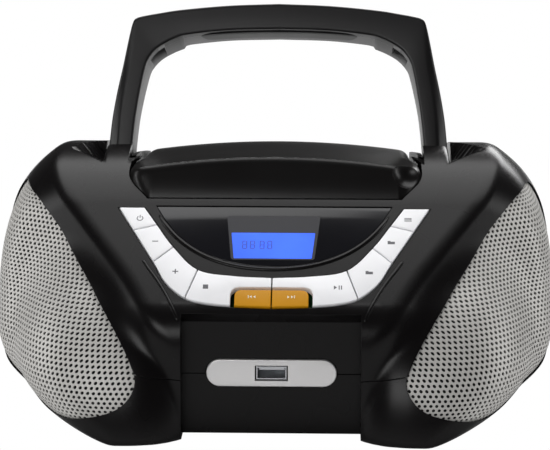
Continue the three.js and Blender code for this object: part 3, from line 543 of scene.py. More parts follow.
def true_normals(made, field, inset=0.0, reach=0.12):
    """Gives the faces that lie on a field's surface that surface's own smooth normals."""
    mesh = made.data
    count = len(mesh.loops)
    corner = np.zeros(count * 3, np.float32)
    mesh.corner_normals.foreach_get("vector", corner)
    corner = corner.reshape(-1, 3)
    index = np.zeros(count, np.int32)
    mesh.loops.foreach_get("vertex_index", index)
    co = np.zeros(len(mesh.vertices) * 3, np.float32)
    mesh.vertices.foreach_get("co", co)
    co = co.reshape(-1, 3).astype(float) / MM - [0, ORIGIN_SHIFT, 0]
    centres = np.zeros(len(mesh.polygons) * 3, np.float32)
    mesh.polygons.foreach_get("center", centres)
    centres = centres.reshape(-1, 3).astype(float) / MM - [0, ORIGIN_SHIFT, 0]
    flat = np.zeros(len(mesh.polygons) * 3, np.float32)
    mesh.polygons.foreach_get("normal", flat)
    flat = flat.reshape(-1, 3)
    totals = np.zeros(len(mesh.polygons), np.int32)
    mesh.polygons.foreach_get("loop_total", totals)
    at_face, steep = slope_of(field, centres)
    off = np.abs(field(centres) + inset) / steep
    on_skin = (off < reach) & (np.sum(at_face * flat, 1) > 0.8)
    chosen = np.repeat(on_skin, totals)
    at_point, _ = slope_of(field, co)
    corner[chosen] = at_point[index[chosen]]
    mesh.normals_split_custom_set(corner.tolist())


# ------------------------------------------------------------------ outlines used in several pieces
def bezier(p0, p1, p2, p3, count=16):
    t = (np.arange(count + 1) / count)[:, None]
    p0, p1, p2, p3 = map(np.asarray, (p0, p1, p2, p3))
    return (1 - t) ** 3 * p0 + 3 * (1 - t) ** 2 * t * p1 + 3 * (1 - t) * t * t * p2 + t**3 * p3


def channel_plan(grow):
    half = [
        (CHANNEL["inner"] - grow, CHANNEL["front"] - grow),
        (CHANNEL["inner"] - grow, 18),
        (64.4 - grow, 51),
        (59.4 - grow, 65.4 - grow),
        (48.6 - grow, 74.6 - grow),
    ]
    outer = CHANNEL["outer"] + grow
    front = CHANNEL["front"] - grow
    return (
        [(outer, front), (outer, 112), (-outer, 112), (-outer, front)]
        + [(-x, y) for x, y in half]
        + half[::-1]
    )


def lid_half(grow):
    rear = bezier(
        (62.4 + grow, 14), (62.4 + grow, 50), (57, LID_REAR_Y + grow), (42, LID_REAR_Y + grow)
    )
    front = bezier(
        (57 + grow, LID_FRONT_Y - grow),
        (61 + grow, -45 - grow),
        (66.5 + grow, -42),
        (66.5 + grow, -35),
        8,
    )
    side = [(66.2 + grow, -27), (65.2 + grow, -23.5), (63.2 + grow, -19.5), (62.4 + grow, -15)]
    return [tuple(p) for p in front] + side + [tuple(p) for p in rear]


def lid_plan(grow):
    right = lid_half(grow)
    return right + [(-x, y) for x, y in right][::-1]


def rim_height(y):
    return 98.6 - (y - LID_FRONT_Y) / (LID_REAR_Y - LID_FRONT_Y) * 6.6


def over_rim(low, high, half=90):
    ends = (-60, 90)
    outline = [(y, rim_height(y) + low) for y in ends]
    outline += [(y, rim_height(y) + high) for y in ends[::-1]]
    return prism(outline, -half, half, SIDE_VIEW)


def lid_top(x, y, skin=0.0):
    roof = top_height(y) - 4.2 * (x / 60) ** 2 - skin
    face = 99 + (y - LID_FRONT_Y - skin * 0.5) * 1.7
    return soft_min(roof, face, 3)


def polygon_distance(x, y, outline):
    """Distance to an outline in the plane, negative inside."""
    p = np.asarray(outline, float)
    q = np.roll(p, -1, 0)
    best = np.full(x.shape, 1e9)
    inside = np.zeros(x.shape, bool)
    for (ax, ay), (bx, by) in zip(p, q):
        dx, dy = bx - ax, by - ay
        t = np.clip(((x - ax) * dx + (y - ay) * dy) / (dx * dx + dy * dy), 0, 1)
        best = np.minimum(best, (x - ax - t * dx) ** 2 + (y - ay - t * dy) ** 2)
        if dy:
            inside ^= ((ay > y) != (by > y)) & (x < dx * (y - ay) / dy + ax)
    return np.where(inside, -1, 1) * np.sqrt(best)


LID_OUTLINE = lid_plan(0)


def lid_field(p):
    x, y, z = p[..., 0], p[..., 1], p[..., 2]
    sides = polygon_distance(x, y, LID_OUTLINE)
    return soft_max(soft_max(sides, z - lid_top(x, y), 5), 84 - z, 1)


# Button band, right half, as (across, up the panel) from its outer top end to the middle.
BAND_OUTER = [
    (69.8, 56.4), (62.4, 43), (52.5, 25), (46.4, 13.4), (37.6, 5), (28.5, 2.1), (17.6, 0.9)
]
BAND_INNER = [(58, 56.4), (51.8, 46.2), (43.9, 33.6), (32.6, 20.9), (17, 17.6)]
MIDDLE_TOP = 16.6
AMBER_TOP = 10.9
AMBER_END = 17.6
BAND_LOW = 0.2
CURVE_STEPS = 6
OUTER_LINE = curve_through(BAND_OUTER, CURVE_STEPS)
INNER_LINE = curve_through(BAND_INNER + [(0, MIDDLE_TOP)], CURVE_STEPS)


def outer_part(start, end):
    return [tuple(p) for p in OUTER_LINE[start * CURVE_STEPS : end * CURVE_STEPS + 1]]


def inner_part(start, end):
    return [tuple(p) for p in INNER_LINE[start * CURVE_STEPS : end * CURVE_STEPS + 1]]


def lens_outline(grow):
    right = bezier((0, 23.6 - grow), (26, 23.6 - grow), (43 + grow, 36 - grow),
                   (52.7 + grow, 57.6 + grow), 28)
    right = [tuple(p) for p in right]
    return right + [(-x, w) for x, w in right[:0:-1]]


# Leaf outline of the right grille, seen along its own direction.
LEAF_KNOTS = [
    (75, 102), (57.6, 98), (41, 89), (24, 77), (5.7, 65), (-9, 53.5), (-21.7, 40), (-27.3, 29),
    (-23.5, 19), (-9, 14), (12, 13), (38, 17), (64, 28), (84, 45), (95, 66), (95, 86), (87, 98),
]
LEAF = curve_through(LEAF_KNOTS, 6, closed=True)
GRILLE_VIEW = (
    np.array([math.cos(GRILLE_YAW), math.sin(GRILLE_YAW), 0]),
    Z_AXIS,
    np.array([math.sin(GRILLE_YAW), -math.cos(GRILLE_YAW), 0]),
)


def leaf(grow):
    return prism(grown(LEAF, grow), 55, 175, GRILLE_VIEW)


# ------------------------------------------------------------------ cabinets
FINE = (168, 142, 84)
COARSE = (70, 60, 36)


def valley(grow):
    wall = VALLEY_WALL_Y + grow
    outline = [
        (-140, -6), (wall, -6), (wall, 53.5 + grow), (-99.4, 58.6 + grow), (-140, 58.6 + grow)
    ]
    half = VALLEY_HALF_WIDTH + grow
    return prism(outline, -half, half, SIDE_VIEW)


def stadium(half_length, radius, count=20):
    straight = half_length - radius
    turn = math.pi * (np.arange(count + 1) / count - 0.5)
    right = [(straight + radius * math.cos(a), USB_Z + radius * math.sin(a)) for a in turn]
    return right + [(-x, 2 * USB_Z - z) for x, z in right]


def front_prism(outline, y0, y1, **rounds):
    return prism(outline, -y1, -y0, FRONT_VIEW, **rounds)


def ball(centre, radius):
    heights = [-math.cos(math.pi * i / 24) for i in range(25)]
    profile = [(math.sqrt(max(1 - h * h, 0)) * radius, h * radius) for h in heights]
    points, faces = turned(profile, segments=48)
    return points + centre, faces


def under_lid_top():
    """A block whose top face follows the lid's top."""
    grid, faces = box_grid((144, 150, 40), (36, 50, 1))
    points = grid + [0, 15, 100]
    upper = points[:, 2] > 100
    points[:, 2] = np.where(upper, np.maximum(lid_top(points[:, 0], points[:, 1]), 82), 80)
    return points, faces.tolist()


def solid(part):
    return part if isinstance(part, bpy.types.Object) else mesh_object("tool", *part)


def meet(part, other):
    return carve(solid(part), [("INTERSECT", other)])


def less(part, other):
    return carve(solid(part), [("DIFFERENCE", other)])


outer_body = solid(body_solid(0, FINE))
cabinet = copy_of(outer_body)
CUT, JOIN = "DIFFERENCE", "UNION"
carve(cabinet, [(CUT, body_solid(WALL, COARSE))])
carve(cabinet, [(JOIN, meet(valley(2.6), copy_of(outer_body))), (CUT, valley(0))])
channel_block = prism(channel_plan(2.2), CHANNEL["floor"] - 2.4, 130)
rim_plate = meet(prism(lid_plan(2.4), 60, 130), over_rim(-2.6, 0))
carve(
    cabinet,
    [
        (JOIN, meet(channel_block, copy_of(outer_body))),
        (JOIN, meet(rim_plate, copy_of(outer_body))),
        (CUT, prism(channel_plan(0), CHANNEL["floor"], 130)),
        (CUT, meet(prism(lid_plan(GAP), 60, 130), over_rim(0, 60))),
    ],
)
shoulder = less(block(-CHANNEL["inner"], CHANNEL["inner"], -30, 76, 60, 130), under_lid_top())
flare = meet(prism([(x, y + 2.6) for x, y in lid_plan(GAP)], 60, 130),
             block(-70, 70, -28, -10, 60, 130))
rear = block(-CHANNEL["inner"], CHANNEL["inner"], 40, 76, 60, 130)
carve(
    cabinet,
    [
        (CUT, shoulder),
        (CUT, meet(flare, over_rim(0, 60))),
        (CUT, meet(rear, over_rim(0, 60))),
        (CUT, rod(WELL_RADIUS, 60, 120, (0, DISC_Y, 0), segments=96)),
        (CUT, block(-62, 62, 66.2, 77, 87.4, 130)),
    ],
)
ears = both_sides(block(38, 41, 62, 70.7, 89.8, 94.2))
slots = both_sides(block(33.65, 37.75, 64.4, 77, 86, 97))
lid_pin_holes = both_sides(rod(LID_PIN_HOLE, 33.2, 42.6, LID_PIN, X_AXIS, 32))
handle_pin_holes = both_sides(rod(HANDLE_PIN_HOLE, 63.6, 87.6, HANDLE_PIVOT, X_AXIS, 32))
carve(cabinet, [(JOIN, ears), (CUT, slots), (CUT, lid_pin_holes), (CUT, handle_pin_holes)])

band_right = outer_part(0, 6) + [(0, BAND_LOW)]
band_inner = inner_part(0, 5)
band_outline = (
    [(-x, w) for x, w in band_right]
    + band_right[::-1][1:]
    + band_inner
    + [(-x, w) for x, w in band_inner[::-1][1:]]
)


def panel_prism(outline, low, high, **rounds):
    return prism(outline, low, high, PANEL_VIEW, PANEL_ORIGIN, **rounds)


LENS_LOW = -2.3
WINDOW = [(-22, 26), (22, 26), (22, 54), (-22, 54)]
carve(
    cabinet,
    [
        (CUT, panel_prism(grown(band_outline, GAP), -4.6, 20)),
        (CUT, panel_prism(lens_outline(GAP), LENS_LOW - 0.3, 20)),
        (CUT, panel_prism(WINDOW, -12, 0)),
    ],
)

GRILLE_LIP = 0.9
lip_cut = leaf(-0.8)
lip_back = meet(leaf(2.2), body_solid(GRILLE_LIP, FINE))
lip_back_twin = copy_of(lip_back)
for vertex in lip_back_twin.data.vertices:
    vertex.co.x = -vertex.co.x
lip_back_twin.data.flip_normals()
carve(cabinet, [(CUT, lip_cut), (CUT, mirrored(lip_cut)), (CUT, lip_back), (CUT, lip_back_twin)])

port = block(-PORT["half_width"], PORT["half_width"], -110, -70,
             USB_Z - PORT["half_height"], USB_Z + PORT["half_height"])
plug_hole = rod(4.95, 84, 112, JACK, Y_AXIS, 40)
aerial_hole = rod(4.35, 84, 114, AERIAL * [1, 0, 1], Y_AXIS, 40)
cuts = [
    (CUT, front_prism(stadium(28.85, 6.45), -96.4, -94.2)),
    (CUT, port),
    (CUT, block(-56, 56, 4, 110, 1, 5)),
    (CUT, block(-57.8, 57.8, 4, 110, 4.1, 6.8)),
    (CUT, block(-58.3, 58.3, 1.7, 86.3, 6.9, 34.3)),
    (CUT, block(60.65, 79.35, 80, 110, 8.65, 25.35)),
    (CUT, plug_hole),
    (CUT, aerial_hole),
]
for spot in FEET.values():
    cuts.append((CUT, rod(7.35, 1, 4.4, spot)))
VENT_PITCH, VENT_HALF_WIDTH = 9, 1.4
for i in range(-4, 5):
    vent = i * VENT_PITCH
    outline = bar(vent - VENT_HALF_WIDTH, vent + VENT_HALF_WIDTH, 56, 76)
    cuts.append((CUT, front_prism(outline, 84, 115)))
carve(cabinet, cuts)

# Crests: the raised rim outside the keys that runs down to the recess, and the window's rim.
CREST = [(57.6, 27.6), (54.8, 22.4), (50.3, 15.3), (45.9, 7.1), (42.2, -1.1), (39.6, -7.4)]


def on_panel(points, lift=0.0):
    p = np.asarray(points, float)
    return PANEL_ORIGIN + np.outer(p[:, 0], X_AXIS) + np.outer(p[:, 1], PANEL_UP) + lift * PANEL_OUT


def dropped_on_body(points, toward, lift, reach=30.0):
    """Moves points along a direction onto the body's surface, then lifts them off it."""
    points = np.asarray(points, float)
    near = np.full(len(points), -reach)
    far = np.full(len(points), reach)
    for _ in range(SEARCH_STEPS):
        t = (near + far) / 2
        inside = body_field(points + np.outer(t, toward)) < 0
        near = np.where(inside, t, near)
        far = np.where(inside, far, t)
    found = points + np.outer(near, toward)
    normal, _ = slope_of(body_field, found)
    return found + normal * lift


crest_path = dropped_on_body(on_panel(curve_through(CREST, 8)), PANEL_OUT, -0.8)
crest = bead(crest_path, 1.2)
rim_line = lens_outline(1.9)[:29]
rim_line = [(x, w) for x, w in rim_line if w < 55.6]
rim_line = [(-x, w) for x, w in rim_line[:0:-1]] + rim_line
window_rim = bead(on_panel(rim_line, -0.55), 1.25)
carve(cabinet, [(JOIN, both_sides(crest)), (JOIN, window_rim)])

# The two halves meet at a seam that rises a little towards the grilles.
SEAM_LINE = [(0, 30), (40, 30.2), (46, 30.8), (60, 33.8), (72, 35), (150, 35)]
SEAM_HALF = 0.16


def beside_seam(above):
    shift = SEAM_HALF if above else -SEAM_HALF
    edge = [(x, z + shift) for x, z in SEAM_LINE]
    line = [(-x, z) for x, z in edge[::-1][:-1]] + edge
    far = 150 if above else -5
    return front_prism(line + [(150, far), (-150, far)], -150, 150)


upper = meet(copy_of(cabinet), beside_seam(True))
lower = meet(cabinet, beside_seam(False))
bpy.data.objects.remove(outer_body)
for made, name in ((upper, "upper_cabinet_shell"), (lower, "lower_cabinet_shell")):
    node = "upper_cabinet" if made is upper else "lower_cabinet"
    piece(name, made, GLOSS_BLACK, "chassis", [node])
    true_normals(made, body_field)

# ------------------------------------------------------------------ grilles
PITCH = 2.5
HOLE_RADIUS = 0.75
GRILLE_INSET = 1.0
SHEET = 0.55


def settle(p, inset):
    for _ in range(3):
        normal, steep = slope_of(body_field, p)
        p = p - normal * ((body_field(p) + inset) / steep)[..., None]
    return p


def march(start, direction, count, step, inset):
    """Equal steps over the body's surface from rows of start points."""
    line = [start]
    for _ in range(count):
        normal, _ = slope_of(body_field, line[-1])
        way = direction(normal)
        way /= np.linalg.norm(way, axis=-1)[..., None]
        line.append(settle(line[-1] + way * step, inset))
    return np.stack(line)


def surface_map(inset, step=1.0, across=(-78, 100), along=(-62, 64)):
    """Points of the right pod's surface on a square net of equal arc lengths."""
    e1, e2, e3 = GRILLE_VIEW
    start = 33 * e1 + 56 * e2
    near, far = 0.0, 175.0
    for _ in range(SEARCH_STEPS):
        t = (near + far) / 2
        if body_field(start + t * e3) + inset < 0:
            near = t
        else:
            far = t
    start = start + near * e3

    def rise(n):
        return e2 - n * (n @ e2)[..., None]

    def fall(n):
        return -rise(n)

    def right(n):
        return np.cross(e2, n)

    def left(n):
        return -right(n)

    up = march(start[None], rise, along[1], step, inset)[:, 0]
    down = march(start[None], fall, -along[0], step, inset)[:, 0]
    spine = np.vstack([down[:0:-1], up])
    east = march(spine, right, across[1], step, inset)
    west = march(spine, left, -across[0], step, inset)
    return np.concatenate([west[:0:-1], east]), across[0], along[0]


def sample(table, uv):
    net, u0, v0 = table
    u = np.clip(uv[:, 0] - u0, 0, net.shape[0] - 1.001)
    v = np.clip(uv[:, 1] - v0, 0, net.shape[1] - 1.001)
    i, j = u.astype(int), v.astype(int)
    a, b = (u - i)[:, None], (v - j)[:, None]
    return (
        net[i, j] * (1 - a) * (1 - b)
        + net[i + 1, j] * a * (1 - b)
        + net[i, j + 1] * (1 - a) * b
        + net[i + 1, j + 1] * a * b
    )


def leaf_distance(p):
    return polygon_distance(p @ GRILLE_VIEW[0], p @ GRILLE_VIEW[1], LEAF)


def perforated_sheet(table):
    """A thin sheet with a honeycomb of round holes."""
    rows = np.arange(-40, 41)
    columns = np.arange(-46, 47)
    i, j = [g.reshape(-1) for g in np.meshgrid(rows, columns, indexing="ij")]
    centres = np.stack([(j + 0.5 * (i % 2)) * PITCH, i * PITCH * math.sqrt(3) / 2], 1)
    net, u0, v0 = table
    fits = (
        (centres[:, 0] > u0 + 2) & (centres[:, 0] < u0 + net.shape[0] - 4)
        & (centres[:, 1] > v0 + 2) & (centres[:, 1] < v0 + net.shape[1] - 4)
    )
    centres = centres[fits]
    spots = sample(table, centres)
    facing, _ = slope_of(body_field, spots)
    inside = (leaf_distance(spots) < 0.7) & (facing @ GRILLE_VIEW[2] > -0.1)
    centres = centres[inside]
    angles = np.radians(30 * np.arange(12))
    reach = np.where(np.arange(12) % 2, PITCH / math.sqrt(3), PITCH / 2)
    ring = np.stack([np.cos(angles), np.sin(angles)], 1)
    cell = (centres[:, None] + ring * reach[:, None]).reshape(-1, 2)
    hole = (centres[:, None] + ring * HOLE_RADIUS).reshape(-1, 2)
    _, keep, merged = np.unique(np.round(cell, 3), axis=0, return_index=True, return_inverse=True)
    merged = merged.reshape(-1, 12)
    flat = np.vstack([cell[keep], hole])
    hole_index = len(keep) + np.arange(len(hole)).reshape(-1, 12)
    front = sample(table, flat)
    normal, _ = slope_of(body_field, front)
    back = front - normal * SHEET
    count = len(front)
    next_cell, next_hole = np.roll(merged, -1, 1), np.roll(hole_index, -1, 1)
    face = np.stack([merged, next_cell, next_hole, hole_index], -1).reshape(-1, 4)
    walls = np.stack([hole_index, next_hole, next_hole + count, hole_index + count], -1)
    edges = np.stack([merged, next_cell], -1).reshape(-1, 2)
    keys = np.sort(edges, 1)
    _, at, times = np.unique(keys, axis=0, return_inverse=True, return_counts=True)
    border = edges[times[at.reshape(-1)] == 1]
    skirt = np.stack([border[:, 1], border[:, 0], border[:, 0] + count, border[:, 1] + count], -1)
    faces = np.vstack([face, face[:, ::-1] + count, walls.reshape(-1, 4), skirt])
    return np.vstack([front, back]), faces.tolist()


def cloth_sheet(table):
    net = table[0]
    inside = leaf_distance(net) < 1.6
    m, n = net.shape[:2]
    index = np.arange(m * n).reshape(m, n)
    whole = inside[:-1, :-1] & inside[1:, :-1] & inside[1:, 1:] & inside[:-1, 1:]
    quads = np.stack([index[:-1, :-1], index[1:, :-1], index[1:, 1:], index[:-1, 1:]], -1)[whole]
    used, flat = np.unique(quads, return_inverse=True)
    return net.reshape(-1, 3)[used], flat.reshape(-1, 4).tolist()


sheet = perforated_sheet(surface_map(GRILLE_INSET))
cloth = cloth_sheet(surface_map(GRILLE_INSET + 1.3))
for side, turn in (("right", as_is), ("left", mirrored)):
    piece(side + "_grille_sheet", turn(sheet), GRILLE_SILVER, "chassis",
          [side + "_speaker_grille"], 40)
    made = mesh_object("cloth", *turn(cloth))
    thick = made.modifiers.new("thick", "SOLIDIFY")
    thick.thickness = 0.0004
    piece(side + "_speaker_cloth", carve(made, []), CLOTH, "chassis", ())

# ------------------------------------------------------------------ keys
RISE = 0.8
CAP_DEPTH = 2.6
HALF_SLIT = 0.28
AMBER_CORNER = 3.2


def amber_outline():
    edge = AMBER_END - 1.3
    top = AMBER_TOP - 1.0
    turn = [math.pi / 2 * i / 8 for i in range(9)]
    x, w = edge - AMBER_CORNER, top - AMBER_CORNER
    corner = [(x + AMBER_CORNER * math.cos(a), w + AMBER_CORNER * math.sin(a)) for a in turn]
    return [(0, BAND_LOW), (edge, 0.7)] + corner + [(0, top)]


KEYS_RIGHT = {
    "mode": inner_part(0, 1) + outer_part(0, 1)[::-1],
    "folder_up": inner_part(1, 2) + outer_part(1, 2)[::-1],
    "folder_down": inner_part(2, 3) + outer_part(2, 4)[::-1],
    "play": inner_part(3, 5)
    + [(0, AMBER_TOP), (AMBER_END - 3.4, AMBER_TOP), (AMBER_END - 1.6, AMBER_TOP - 0.5)]
    + [(AMBER_END - 0.5, AMBER_TOP - 1.6), (AMBER_END, AMBER_TOP - 3.4)]
    + outer_part(4, 6)[::-1],
    "tune_up": amber_outline(),
}
LEFT_OF = {
    "mode": "power",
    "folder_up": "volume_down",
    "folder_down": "volume_up",
    "play": "stop",
    "tune_up": "tune_down",
}


def ring_part(radius, width, centre, gap_angle=0.0, count=28):
    """A flat ring, open at the top where gap_angle is not zero."""
    start = math.pi / 2 + gap_angle
    end = math.pi / 2 + 2 * math.pi - gap_angle
    angles = [start + (end - start) * i / count for i in range(count + 1)]
    outer = [(radius * math.cos(a), radius * math.sin(a)) for a in angles]
    inner = [((radius - width) * math.cos(a), (radius - width) * math.sin(a)) for a in angles]
    return [(x + centre[0], w + centre[1]) for x, w in outer + inner[::-1]]


def arrow(x, way=1, size=0.8):
    return [(x, -size), (x + way * 1.25 * size, 0), (x, size)]


SIGNS = {
    "power": [ring_part(1.5, 0.4, (0, 0), 0.6), bar(-0.2, 0.2, 0.3, 1.9)],
    "volume_down": [bar(-1.3, 1.3, -0.25, 0.25)],
    "volume_up": [bar(-1.3, 1.3, -0.25, 0.25), bar(-0.25, 0.25, 0.25, 1.3),
                  bar(-0.25, 0.25, -1.3, -0.25)],
    "stop": [bar(-1.15, 1.15, -1.15, 1.15)],
    "play": [arrow(-1.8, 1, 1.1), bar(0.3, 0.75, -1.1, 1.1), bar(1.3, 1.75, -1.1, 1.1)],
    "folder_down": [bar(-1.6, 1.6, -0.9, 0.5), bar(-1.6, -0.3, 0.5, 0.9)],
    "folder_up": [bar(-1.6, 1.6, -0.9, 0.5), bar(-1.6, -0.3, 0.5, 0.9)],
    "mode": [bar(-1.6, 1.6, 0.55, 0.95), bar(-1.6, 1.6, -0.2, 0.2), bar(-1.6, 1.6, -0.95, -0.55)],
    "tune_down": [arrow(-0.3, -1), arrow(1.3, -1), bar(-2.0, -1.6, -0.8, 0.8)],
    "tune_up": [arrow(0.3, 1), arrow(-1.3, 1), bar(1.6, 2.0, -0.8, 0.8)],
}
SIGN_SPOTS = {
    "mode": (59.8, 49.8),
    "folder_up": (52.2, 36.6),
    "folder_down": (42.4, 19.6),
    "play": (28.8, 11.2),
    "tune_up": (8.2, 5.8),
}
for key, outline in KEYS_RIGHT.items():
    cap = panel_prism(grown(outline, -HALF_SLIT), -CAP_DEPTH, RISE, round_top=0.35)
    amber = key == "tune_up"
    for name, turn, way in ((key, as_is, 1), (LEFT_OF[key], mirrored, -1)):
        body = "key_" + name
        piece(name + "_cap", turn(cap), BUTTON_AMBER if amber else BUTTON_WHITE, body,
              ["button_" + name])
        across, up = SIGN_SPOTS[key]
        lines = [
            panel_prism([(x + way * across, w + up) for x, w in shape], RISE - 0.05, RISE + 0.03)
            for shape in SIGNS[name]
        ]
        piece(name + "_sign", joined(lines), KEY_INK_LIGHT if amber else KEY_INK, body)

# ------------------------------------------------------------------ display
piece("display_window", panel_prism(lens_outline(0), LENS_LOW, -0.3, round_top=0.3), LENS_SMOKE,
      "chassis", ["display_lens"])


def rounded(outline, radius, count=5):
    """An outline with its corners rounded."""
    p = np.asarray(outline, float)
    if area_of(p) < 0:
        p = p[::-1]
    line = []
    for i, corner in enumerate(p):
        to_last = p[i - 1] - corner
        to_next = p[(i + 1) % len(p)] - corner
        a = corner + to_last / np.linalg.norm(to_last) * radius
        b = corner + to_next / np.linalg.norm(to_next) * radius
        for t in np.arange(count + 1) / count:
            line.append(tuple((1 - t) ** 2 * a + 2 * t * (1 - t) * corner + t * t * b))
    return line


pane = rounded([(-18.4, 27.2), (18.4, 27.2), (20.9, 52.4), (-20.9, 52.4)], 1.6)
lit = rounded([(-17.2, 28.0), (17.2, 28.0), (18.6, 42.6), (-18.6, 42.6)], 0.5)
piece("display_pane", panel_prism(pane, -0.6, -0.27), WINDOW_GREY, "chassis", ())
piece("display_lit_area", panel_prism(lit, -0.5, -0.24), LCD_BLUE, "chassis", ["lcd_module"])


def digit(x, w, size=1.0):
    """Seven bars of a number display."""
    long, thick = 1.9 * size, 0.34 * size
    bars = [bar(x, x + long, w + i * (long + 0.2), w + i * (long + 0.2) + thick) for i in range(3)]
    for i in range(2):
        low = w + i * (long + 0.2) + thick + 0.12
        for at in (x - 0.1, x + long - thick + 0.1):
            bars.append(bar(at, at + thick, low, low + long - 0.3))
    return bars


marks = []
for i in range(4):
    marks += digit(-13.5 + 3.4 * i + (0.9 if i > 1 else 0), 33.4)
ink = [panel_prism(shape, -0.3, -0.22) for shape in marks]
piece("display_marks", joined(ink), LCD_INK, "chassis", ())

# ------------------------------------------------------------------ handle
OUTER_STATIONS = [
    (80.6, -11.9), (80.6, -10.5), (80.6, -8), (80.6, -4), (80.6, 0), (80.6, 8), (79.9, 17),
    (78.9, 26.5), (76.9, 38.5), (74.3, 51), (72.4, 61), (70.9, 68.4), (69.7, 72.6), (68.3, 74.1),
    (65.4, 75.1), (57, 76.7), (46.2, 78.4), (23.8, 80.5), (0, 81.4),
]
INNER_STATIONS = [
    (69.2, -11.9), (69.2, -10.5), (69.2, -8), (69.2, -4), (69.2, 0), (69.2, 8), (68.6, 17),
    (67.5, 27.5), (65.6, 40), (63.6, 50.2), (62.2, 54.2), (60.5, 57), (59, 58.8), (57.4, 60.2),
    (54.8, 61.9), (50, 64.4), (43.6, 66.3), (24, 68.5), (0, 69.2),
]
FOOT_RADIUS = 12
GRIP_HALF_DEPTH = 10.5
HANDLE_SPANS = 5


def superellipse(count, power):
    angles = 2 * math.pi * (np.arange(count) + 0.5) / count
    c, s = np.cos(angles), np.sin(angles)
    return np.sign(c) * np.abs(c) ** (2 / power), np.sign(s) * np.abs(s) ** (2 / power)


def leaned(points):
    """Handle coordinates (across, back, up) to design coordinates at rest."""
    p = np.asarray(points, float)
    back = p[..., 1] * math.cos(HANDLE_LEAN) + p[..., 2] * math.sin(HANDLE_LEAN)
    up = -p[..., 1] * math.sin(HANDLE_LEAN) + p[..., 2] * math.cos(HANDLE_LEAN)
    return np.stack([p[..., 0], back, up], -1) + HANDLE_PIVOT


def handle_rings():
    outer = curve_through(OUTER_STATIONS, HANDLE_SPANS)
    inner = curve_through(INNER_STATIONS, HANDLE_SPANS)
    rings = []
    for o, i in zip(outer, inner):
        height = (o[1] + i[1]) / 2
        if height < 0:
            depth = math.sqrt(max(FOOT_RADIUS**2 - height**2, 1.0))
        else:
            depth = FOOT_RADIUS - (FOOT_RADIUS - GRIP_HALF_DEPTH) * min(height / 75, 1)
        # The rear shell reaches a little lower than the front one, most of all in the corners.
        web = np.clip((i[0] - 45.5) / 1.6, 0, 1) * np.clip((height - 30) / 40, 0, 1)
        drop = 1.0 * np.clip((height - 55) / 20, 0, 1) + 1.5 * web
        # A facet runs down the outer front edge and widens towards the foot.
        facet = np.clip((66 - height) / 60, 0, 1)
        width = np.linalg.norm(o - i)
        crease = width - 2.6 - 2.2 * facet
        section = np.array(rounded(
            [(0, -depth), (crease, -depth), (width, 3.4 * facet - depth), (width, depth),
             (0, depth)], 1.15))
        a, b = section[:, 0] / width, section[:, 1] / depth
        reach = (1 - a) * (b + 1) / 2
        flat = np.outer(a, o) + np.outer(1 - a, i)
        inward = (i - o) / width
        flat = flat + np.outer(reach * drop, inward)
        rings.append(np.stack([flat[:, 0], b * depth, flat[:, 1]], -1))
    return rings


right_rings = handle_rings()
left_rings = [ring * [-1, 1, 1] for ring in right_rings[:-1]]
handle_shape = lofted([leaned(ring) for ring in right_rings + left_rings[::-1]])
handle = mesh_object("handle", *handle_shape)


def handle_line(share, depth, start=5):
    """A line along the frame at a share of the way from its inner to its outer edge."""
    outer = curve_through(OUTER_STATIONS, HANDLE_SPANS)[start * HANDLE_SPANS :]
    inner = curve_through(INNER_STATIONS, HANDLE_SPANS)[start * HANDLE_SPANS :]
    flat = inner + (outer - inner) * share
    right = np.stack([flat[:, 0], np.full(len(flat), depth), flat[:, 1]], -1)
    return leaned(np.vstack([right, (right * [-1, 1, 1])[::-1][1:]]))


carve(handle, [
    (CUT, bead(handle_line(-0.012, -4.6), 0.42, 8, ends=False)),
    (CUT, rod(HANDLE_PIN_HOLE, -90, 90, HANDLE_PIVOT, X_AXIS, 32)),
])
piece("handle_frame_shell", handle, HANDLE_GREY, "handle", ["handle_frame"], 46)

cover_line = [(x, 68.9 - 0.00118 * x * x) for x in np.linspace(-40, 40, 33)]
a, b = superellipse(28, 4)
cover_rings = []
for i, (x, z) in enumerate(cover_line):
    ease = min(1.0, 0.55 + 0.18 * min(i, len(cover_line) - 1 - i))
    cover_rings.append(np.stack([np.full(28, x), b * 7.4 * ease, z + 0.4 + a * 1.15 * ease], -1))
piece("grip_cover_strip", lofted([leaned(r) for r in cover_rings]), SATIN_BLACK, "handle",
      ["handle_grip_cover"])

# ------------------------------------------------------------------ lid
LID_BOX = ((0, 12, 99), (124, 118, 22))
lid = solid(cast_solid(lid_field, 0, *LID_BOX, (110, 104, 22), 0.8))
lid_shape = meet(copy_of(lid), over_rim(GAP, 60))
lid_hollow = cast_solid(lid_field, LID_SKIN, (0, 12, 97), (124, 118, 22), (60, 56, 12), 0.8)
bpy.data.objects.remove(lid)
NOTCH = (61, -47.5, 112)
cup = meet(ball(NOTCH, 11.4), copy_of(lid_shape))
carve(lid_shape, [(CUT, lid_hollow), (JOIN, cup), (CUT, ball(NOTCH, 9))])
LINER_TOP = 98.35
